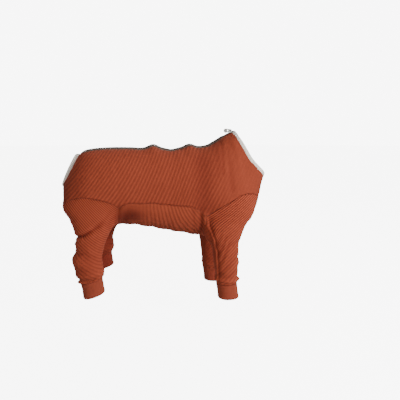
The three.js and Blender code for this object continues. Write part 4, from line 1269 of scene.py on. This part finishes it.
for leg in LEGS:
    flip = leg.side < 0
    piece, *PANEL["leg", leg.name, leg.end] = cloth(
        f"{leg.name}_leg_knit_{leg.end}", leg_grid(leg), leg_ribs(leg), 1.1, LEG_TIMES[leg.name], True,
        flip, leg=leg, extra=leg_extra(leg), fade=leg_fade(leg))
    finish_piece(piece, leg_knit, "suit", "rib_knit", f"{leg.name}_leg_{leg.end}")
    piece, *PANEL["cuff", leg.name, leg.end] = cloth(
        f"{leg.name}_cuff_knit_{leg.end}", cuff_grid(leg), cuff_ribs(leg), 0.34, CUFF_TIMES, True,
        flip, CUFF_THICKNESS, leg=leg)
    finish_piece(piece, cuff_knit, "suit", "cuff_knit", f"{leg.name}_cuff_{leg.end}")


# Points round a binding, how square it is, and its stitches' distance from the inner edge
BINDING_POINTS, SQUARENESS, STITCH_IN = 28, 0.55, 1.9
# How far and how wide the stitches pull it in, its puckers' height and step, and its rib's step
STITCH_PULL, STITCH_WIDE, PUCKER_HIGH, PUCKER_STEP, BINDING_RIB = 0.28, 0.9, 0.13, 0.62, 1.7


# Bindings: a folded strip of knit round an opening's edge
def binding(name, width, frames, round_it, shift=((0, 1), (0, 0)), turned=0.0):
    place, along, out = frames
    if turned:
        low = (place[:, 2].max() - place[:, 2]) / np.ptp(place[:, 2])
        back = turned * (1 - 0.55 * low)[:, None]
        along = unit(along * (1 - back) + vec(-1, 0, 0.15) * back)
        out = unit(out - along * (out * along).sum(-1, keepdims=True))
    length = lengths_along(place)
    down = 1 - np.abs(2 * length / length[-1] - 1)
    place = place - along * np.interp(down, *shift)[:, None]
    near, far = SEAM_GAP / 2, SEAM_GAP / 2 + width
    turn = np.linspace(0, 2 * np.pi, BINDING_POINTS, endpoint=False)
    a, b = (np.sign(part) * np.abs(part) ** SQUARENESS for part in (np.cos(turn), np.sin(turn)))
    half_wide, half_thick = width / 2, BINDING_THICKNESS / 2
    across = (near + far) / 2 + half_wide * a
    rise = -CLOTH / 2 + half_thick * b * (
        1 - STITCH_PULL * bell((half_wide * a + half_wide - STITCH_IN) / STITCH_WIDE))
    pucker = PUCKER_HIGH * np.sin(length / PUCKER_STEP) * (0.6 + 0.4 * np.sin(length / 13))
    swell = np.where(b > 0, 1, 0.4) * np.cos(np.clip(a, -1, 1) * np.pi / 2)
    points = (place[:, None] + along[:, None] * across[:, None]
              + out[:, None] * (rise[None, :] + pucker[:, None] * swell[None, :])[..., None])
    index = np.arange(points.shape[0] * points.shape[1]).reshape(points.shape[:2])
    wrap = np.concatenate([index, index[:, :1]], 1)
    faces = [quads(wrap, round_it)]
    if not round_it:
        faces += [index[:1, ::-1], index[-1:]]
    outward = np.cross(points[1, 0] - points[0, 0], points[0, 1] - points[0, 0])
    if (outward * (points[0, 0] - points[0].mean(0))).sum() < 0:
        faces = [f[:, ::-1] for f in faces]
    attributes = {
        "rib": np.broadcast_to((length / BINDING_RIB)[:, None], index.shape),
        "along": np.broadcast_to(across[None, :], index.shape),
        "hollow": np.zeros(index.shape),
        "seam": np.broadcast_to(bell((across - near - STITCH_IN) / 0.7)[None, :], index.shape),
        "strength": np.ones(index.shape),
        "raised": np.zeros(index.shape),
    }
    thing = mesh_object(name, points.reshape(-1, 3), faces, attributes)
    line = place + along * (near + STITCH_IN) + out * (-CLOTH / 2 + half_thick * 0.80)
    return thing, line, out


# Directions along a line, evened out
def evened(directions, round_it):
    for _ in range(6):
        mean = (np.roll(directions, 1, 0) + 2 * directions + np.roll(directions, -1, 0)) / 4
        if not round_it:
            mean[[0, -1]] = directions[[0, -1]]
        directions = mean
    return unit(directions)


# The edge of the panels at one opening, with the direction out of it and off the cloth
def opening_edge(at_neck):
    index, step = (-1, -1) if at_neck else (0, 1)
    mid = {end: refine(SIDES[end], 2, 3) for end in SIDES}
    belly = refine(BELLY_MID, 2, 3)

    def line(i):
        return np.concatenate([mid["right"][i], belly[i, 1:-1], mid["left"][i, ::-1]])

    place, before = line(index), line(index + 4 * step)
    along = unit(place - before)
    if not at_neck:
        y = np.linspace(ZIP_WIDTH / 2 - 1, 1 - ZIP_WIDTH / 2, 12)
        s = np.zeros_like(y)
        cross = back_point(s, y)
        place = np.concatenate([place, cross])
        along = np.concatenate([along, unit(cross - back_point(s + 1, y))])
    out = unit(slope(place))
    return place, evened(along, not at_neck), evened(out, not at_neck)


# The neck binding wraps over the panels' edge: share of the way down, and how far back it lies
NECK_SHIFT = ((0, 0.15, 0.45, 0.75, 1), (4.0, 7.5, 5.0, 1.0, 0.0))
NECK_WIDER = 1.5
neck, neck_line, neck_up = binding(
    "neck_binding_knit", NECK_BINDING + NECK_WIDER, opening_edge(True), False, NECK_SHIFT)
finish_piece(neck, cream_knit, "suit", "binding", "neck_binding")
tail, tail_line, tail_up = binding(
    "tail_binding_knit", TAIL_BINDING, opening_edge(False), True, turned=0.75)
finish_piece(tail, cream_knit, "suit", "binding", "tail_binding")
stitches = running_stitch("binding_stitches", [(neck_line, neck_up), (tail_line, tail_up)],
                          length=2.2, gap=1.0, radius=0.24, lift=0.10)
finish_piece(stitches, cream_thread, "suit", "binding")


# Places along the zip, beside its middle by y, and the directions off the cloth
def zip_frames(length, y=0.0):
    s = np.interp(length, zip_length, zip_s)
    place = back_point(s, np.full_like(s, y))
    out = unit(slope(vec(place[:, 0], 0, place[:, 2])))
    return place, out


TAPE_COLUMNS, TAPE_ROWS, TAPE_STITCH_ROWS = 320, 14, (5, 11)
# How far a tape sinks under the coil, and the bead beside the coil: height, place and width
COIL_SINK, BEAD_HIGH, BEAD_AT, BEAD_WIDE = 0.95, 0.28, 1.1, 0.5


# A tape from under the coil to the panel's edge, with a bead beside the coil
def zip_tape(name, side, node):
    length = np.linspace(0, ZIP_TOTAL, TAPE_COLUMNS + 1)
    inner_y, outer_y = 0.25, ZIP_WIDTH / 2 - VISIBLE_GAP / 2
    place, out = zip_frames(length, side * (inner_y + outer_y) / 2)
    zone = zip_zone(length)[:, None]
    share = np.linspace(0, 1, TAPE_ROWS + 1)
    y = (inner_y + (outer_y - inner_y) * share) * side
    beside = np.abs(y) - CHAIN_WIDTH / 2
    bead = -COIL_SINK * (1 - smooth((beside + 0.3) / 0.9)) + BEAD_HIGH * bell((beside - BEAD_AT) / BEAD_WIDE)
    lean = share ** 1.6
    ripple = 0.05 * np.sin(length / 1.9)[:, None] * np.sin(share * np.pi)[None, :]
    top = vec(place[:, None, 0], y[None, :], place[:, None, 2]) + out[:, None] * (
        TAPE_TOP + bead[None, :] + ripple - 0.12 * share[None, :] ** 6
        + zone * (ZIP_RISE * (1 - lean) - ZIP_SINK * lean)[None, :])[..., None]
    under = top[::2, ::2] - out[::2, None] * TAPE_THICKNESS
    attributes = {}
    for key, values in (("rib", np.abs(y)[None, :]), ("along", length[:, None])):
        values = np.broadcast_to(values, top.shape[:2])
        attributes[key] = np.concatenate([values.reshape(-1), values[::2, ::2].reshape(-1)])
    thing = shell(name, top, under, False, side < 0, attributes)
    finish_piece(thing, tape_cloth, "suit", "zip_tape", node)
    return top, out


# Two rows of turns of wire, half a turn apart
def zip_coil():
    pitch, turn_steps, radius = 1.36, 12, 0.36
    turns = int(ZIP_TOTAL / pitch) - 1
    angle = np.linspace(0, turns * 2 * np.pi, turns * turn_steps + 1)
    points, faces, start = [], [], 0
    middle_height = (CHAIN_TOP + CHAIN_CROWN + CHAIN_BOTTOM) / 2
    half_height = (CHAIN_TOP + CHAIN_CROWN - CHAIN_BOTTOM) / 2 - radius
    half_width = 1.32
    centre_y = CHAIN_WIDTH / 2 - half_width - radius
    for side, shift in ((1, 0.0), (-1, 0.5)):
        length = pitch * (angle / (2 * np.pi) + shift) + 0.4
        squeeze = np.abs(np.sin(angle)) ** 0.7 * np.sign(np.sin(angle))
        place, out = zip_frames(length)
        y = side * (centre_y + half_width * np.cos(angle))
        place = place + out * (ZIP_RISE * zip_zone(length))[:, None]
        path = place + vec(0, y, 0) + out * (middle_height + half_height * squeeze)[:, None]
        reference = unit(path - (place + vec(0, side * centre_y + 0 * y, 0) + out * middle_height))
        rings = wire_rings(path, reference, radius)
        index = start + np.arange(rings.size // 3).reshape(rings.shape[:2])
        wrap = np.concatenate([index, index[:, :1]], 1)
        faces += [quads(wrap)[:, ::-1], index[:1], index[-1:, ::-1]]
        points.append(rings.reshape(-1, 3))
        start += index.size
    by_size = [np.concatenate([f for f in faces if f.shape[1] == n]) for n in (4, WIRE_SIDES)]
    return mesh_object("zip_coil_teeth", np.concatenate(points), by_size)


coil = zip_coil()
finish_piece(coil, coil_nylon, "suit", "zip_chain", "zipper_chain")
tape_lines = []
for side, end in ((-1, "right"), (1, "left")):
    top, out = zip_tape(f"zip_tape_{end}", side, f"zipper_tape_{end}")
    tape_lines += [(top[:, row], out) for row in TAPE_STITCH_ROWS]
stitches = running_stitch("zip_tape_stitches", tape_lines, length=2.0, gap=0.8, radius=0.2, lift=0.08)
finish_piece(stitches, taupe_thread, "suit", "zip_tape")


# One side of a seam, inside a panel's edge: its points and normals
def panel_row(key, span, row):
    return [values[span, row] for values in PANEL[key]]


def tube_row(key, row, places):
    return [line_at(values[:, row], places, True) for values in PANEL[key]]


# Stitches along every seam between the panels, and a row beside the zip
seams = []
step = MID * SIDE_TIMES[0]
for end, belly_row in (("right", 1), ("left", -2)):
    for first, last in OPEN_STRETCHES:
        span = slice(first * step, last * step + 1)
        seams.append((panel_row(("side", end), span, -2), panel_row("belly", span, belly_row)))
    for leg in LEGS:
        if leg.end != end:
            continue
        first, count = LEG_COLUMNS[leg.name]
        leg_key, cuff_key = ("leg", leg.name, end), ("cuff", leg.name, end)
        column = MID * LEG_TIMES[leg.name][0]
        at = np.arange(count * step + 1) / step
        span = slice(first * step, (first + count) * step + 1)
        seams.append((panel_row(("side", end), span, -2), tube_row(leg_key, 2, at * column)))
        seams.append((panel_row("belly", span, belly_row),
                      tube_row(leg_key, 2, at[::-1] * column + count * column)))
        leg_count, cuff_count = (len(PANEL[key][0]) for key in (leg_key, cuff_key))
        places = np.linspace(0, leg_count, 97)
        seams.append((tube_row(leg_key, -2, places),
                      tube_row(cuff_key, 2, places * cuff_count / leg_count)))
stitches = seam_stitches("seam_stitches", seams)
finish_piece(stitches, rust_thread, "suit", "rib_knit")
hem_lines = [panel_row(("side", end), slice(None), 3) for end in ("right", "left")]
stitches = running_stitch("zip_hem_stitches", hem_lines, lift=0.15)
finish_piece(stitches, rust_thread, "suit", "rib_knit")

# Metal of the zip: the solids' own slider and pull tab with rounded edges
for node in ("zipper_slider", "pull_tab"):
    thing = bpy.data.objects[node]
    thing.data.materials.clear()
    thing.data.materials.append(zip_metal)
    bevel = thing.modifiers.new("rounded", "BEVEL")
    bevel.width, bevel.segments, bevel.limit_method, bevel.angle_limit = 0.0003, 2, "ANGLE", math.radians(35)


# Camera, floor and light
def aim(thing, at, target):
    thing.location = at
    thing.rotation_mode = "QUATERNION"
    thing.rotation_quaternion = (Vector(target) - Vector(at)).to_track_quat("-Z", "Y")


CAMERA_AT, LOOK_AT, LENS = (-0.0876, -1.0991, 0.0457), (0.0865, 0.0, -0.1505), 33.3
camera_data = bpy.data.cameras.new("camera")
camera = add_object("camera", camera_data)
camera_data.lens, camera_data.sensor_width = LENS, 36.0
camera_data.clip_start, camera_data.clip_end = 0.01, 50.0
aim(camera, CAMERA_AT, LOOK_AT)
bpy.context.scene.camera = camera

FLOOR_Z, FLOOR_SIZE, BACKDROP_SIDES, STUDIO_GREY = -0.505, 40.0, 48, 0.9


# A surface of the studio that the camera sees bright, but that sends no light to the suit
def studio_surface(name, points, faces, glow):
    mesh = bpy.data.meshes.new(name)
    mesh.from_pydata(points, [], faces)
    thing = add_object(name, mesh)
    material, n = new_material(name)
    shader = n.surface((STUDIO_GREY,) * 3, 0.9)
    shader.inputs["Emission Color"].default_value = (1, 1, 1, 1)
    shader.inputs["Emission Strength"].default_value = glow
    mesh.materials.append(material)
    thing.visible_diffuse = thing.visible_glossy = thing.visible_shadow = False


half = FLOOR_SIZE / 2
corners = ((-half, -half), (half, -half), (half, half), (-half, half))
studio_surface("floor", [(x, y, FLOOR_Z) for x, y in corners], [(0, 1, 2, 3)], 7.0)
turns = np.linspace(0, 2 * np.pi, BACKDROP_SIDES, endpoint=False)
around = [(half * math.cos(a), half * math.sin(a), z) for z in (FLOOR_Z - 1, half) for a in turns]
walls = [(i, (i + 1) % BACKDROP_SIDES, BACKDROP_SIDES + (i + 1) % BACKDROP_SIDES, BACKDROP_SIDES + i)
         for i in range(BACKDROP_SIDES)]
studio_surface("backdrop", around, walls, 7.5)

# Soft light from all round, weaker from below
SKY_SLOPE, SKY_LEVEL = 0.06, 0.52
world = bpy.data.worlds.new("studio")
bpy.context.scene.world = world
world.use_nodes = True
sky = Nodes(world.node_tree)
height = sky.add("ShaderNodeSeparateXYZ")
sky.link(sky.add("ShaderNodeTexCoord").outputs["Generated"], height.inputs[0])
glow = sky.math("MULTIPLY_ADD", height.outputs[2], SKY_SLOPE, SKY_LEVEL)
background = world.node_tree.nodes["Background"]
background.inputs["Color"].default_value = (1, 1, 1, 1)
sky.link(glow, background.inputs["Strength"])


def area_light(name, at, target, size, power):
    data = bpy.data.lights.new(name, "AREA")
    data.shape, data.size, data.energy = "DISK", size, power
    aim(add_object(name, data), at, target)


area_light("key", (1.7, -1.7, 0.45), (0.05, 0, -0.18), 0.9, 68)
area_light("fill", (-0.9, -1.9, 0.5), (0, 0, -0.2), 1.2, 2)
area_light("back", (0.4, 1.8, 0.9), (0, 0, -0.1), 1.2, 6)
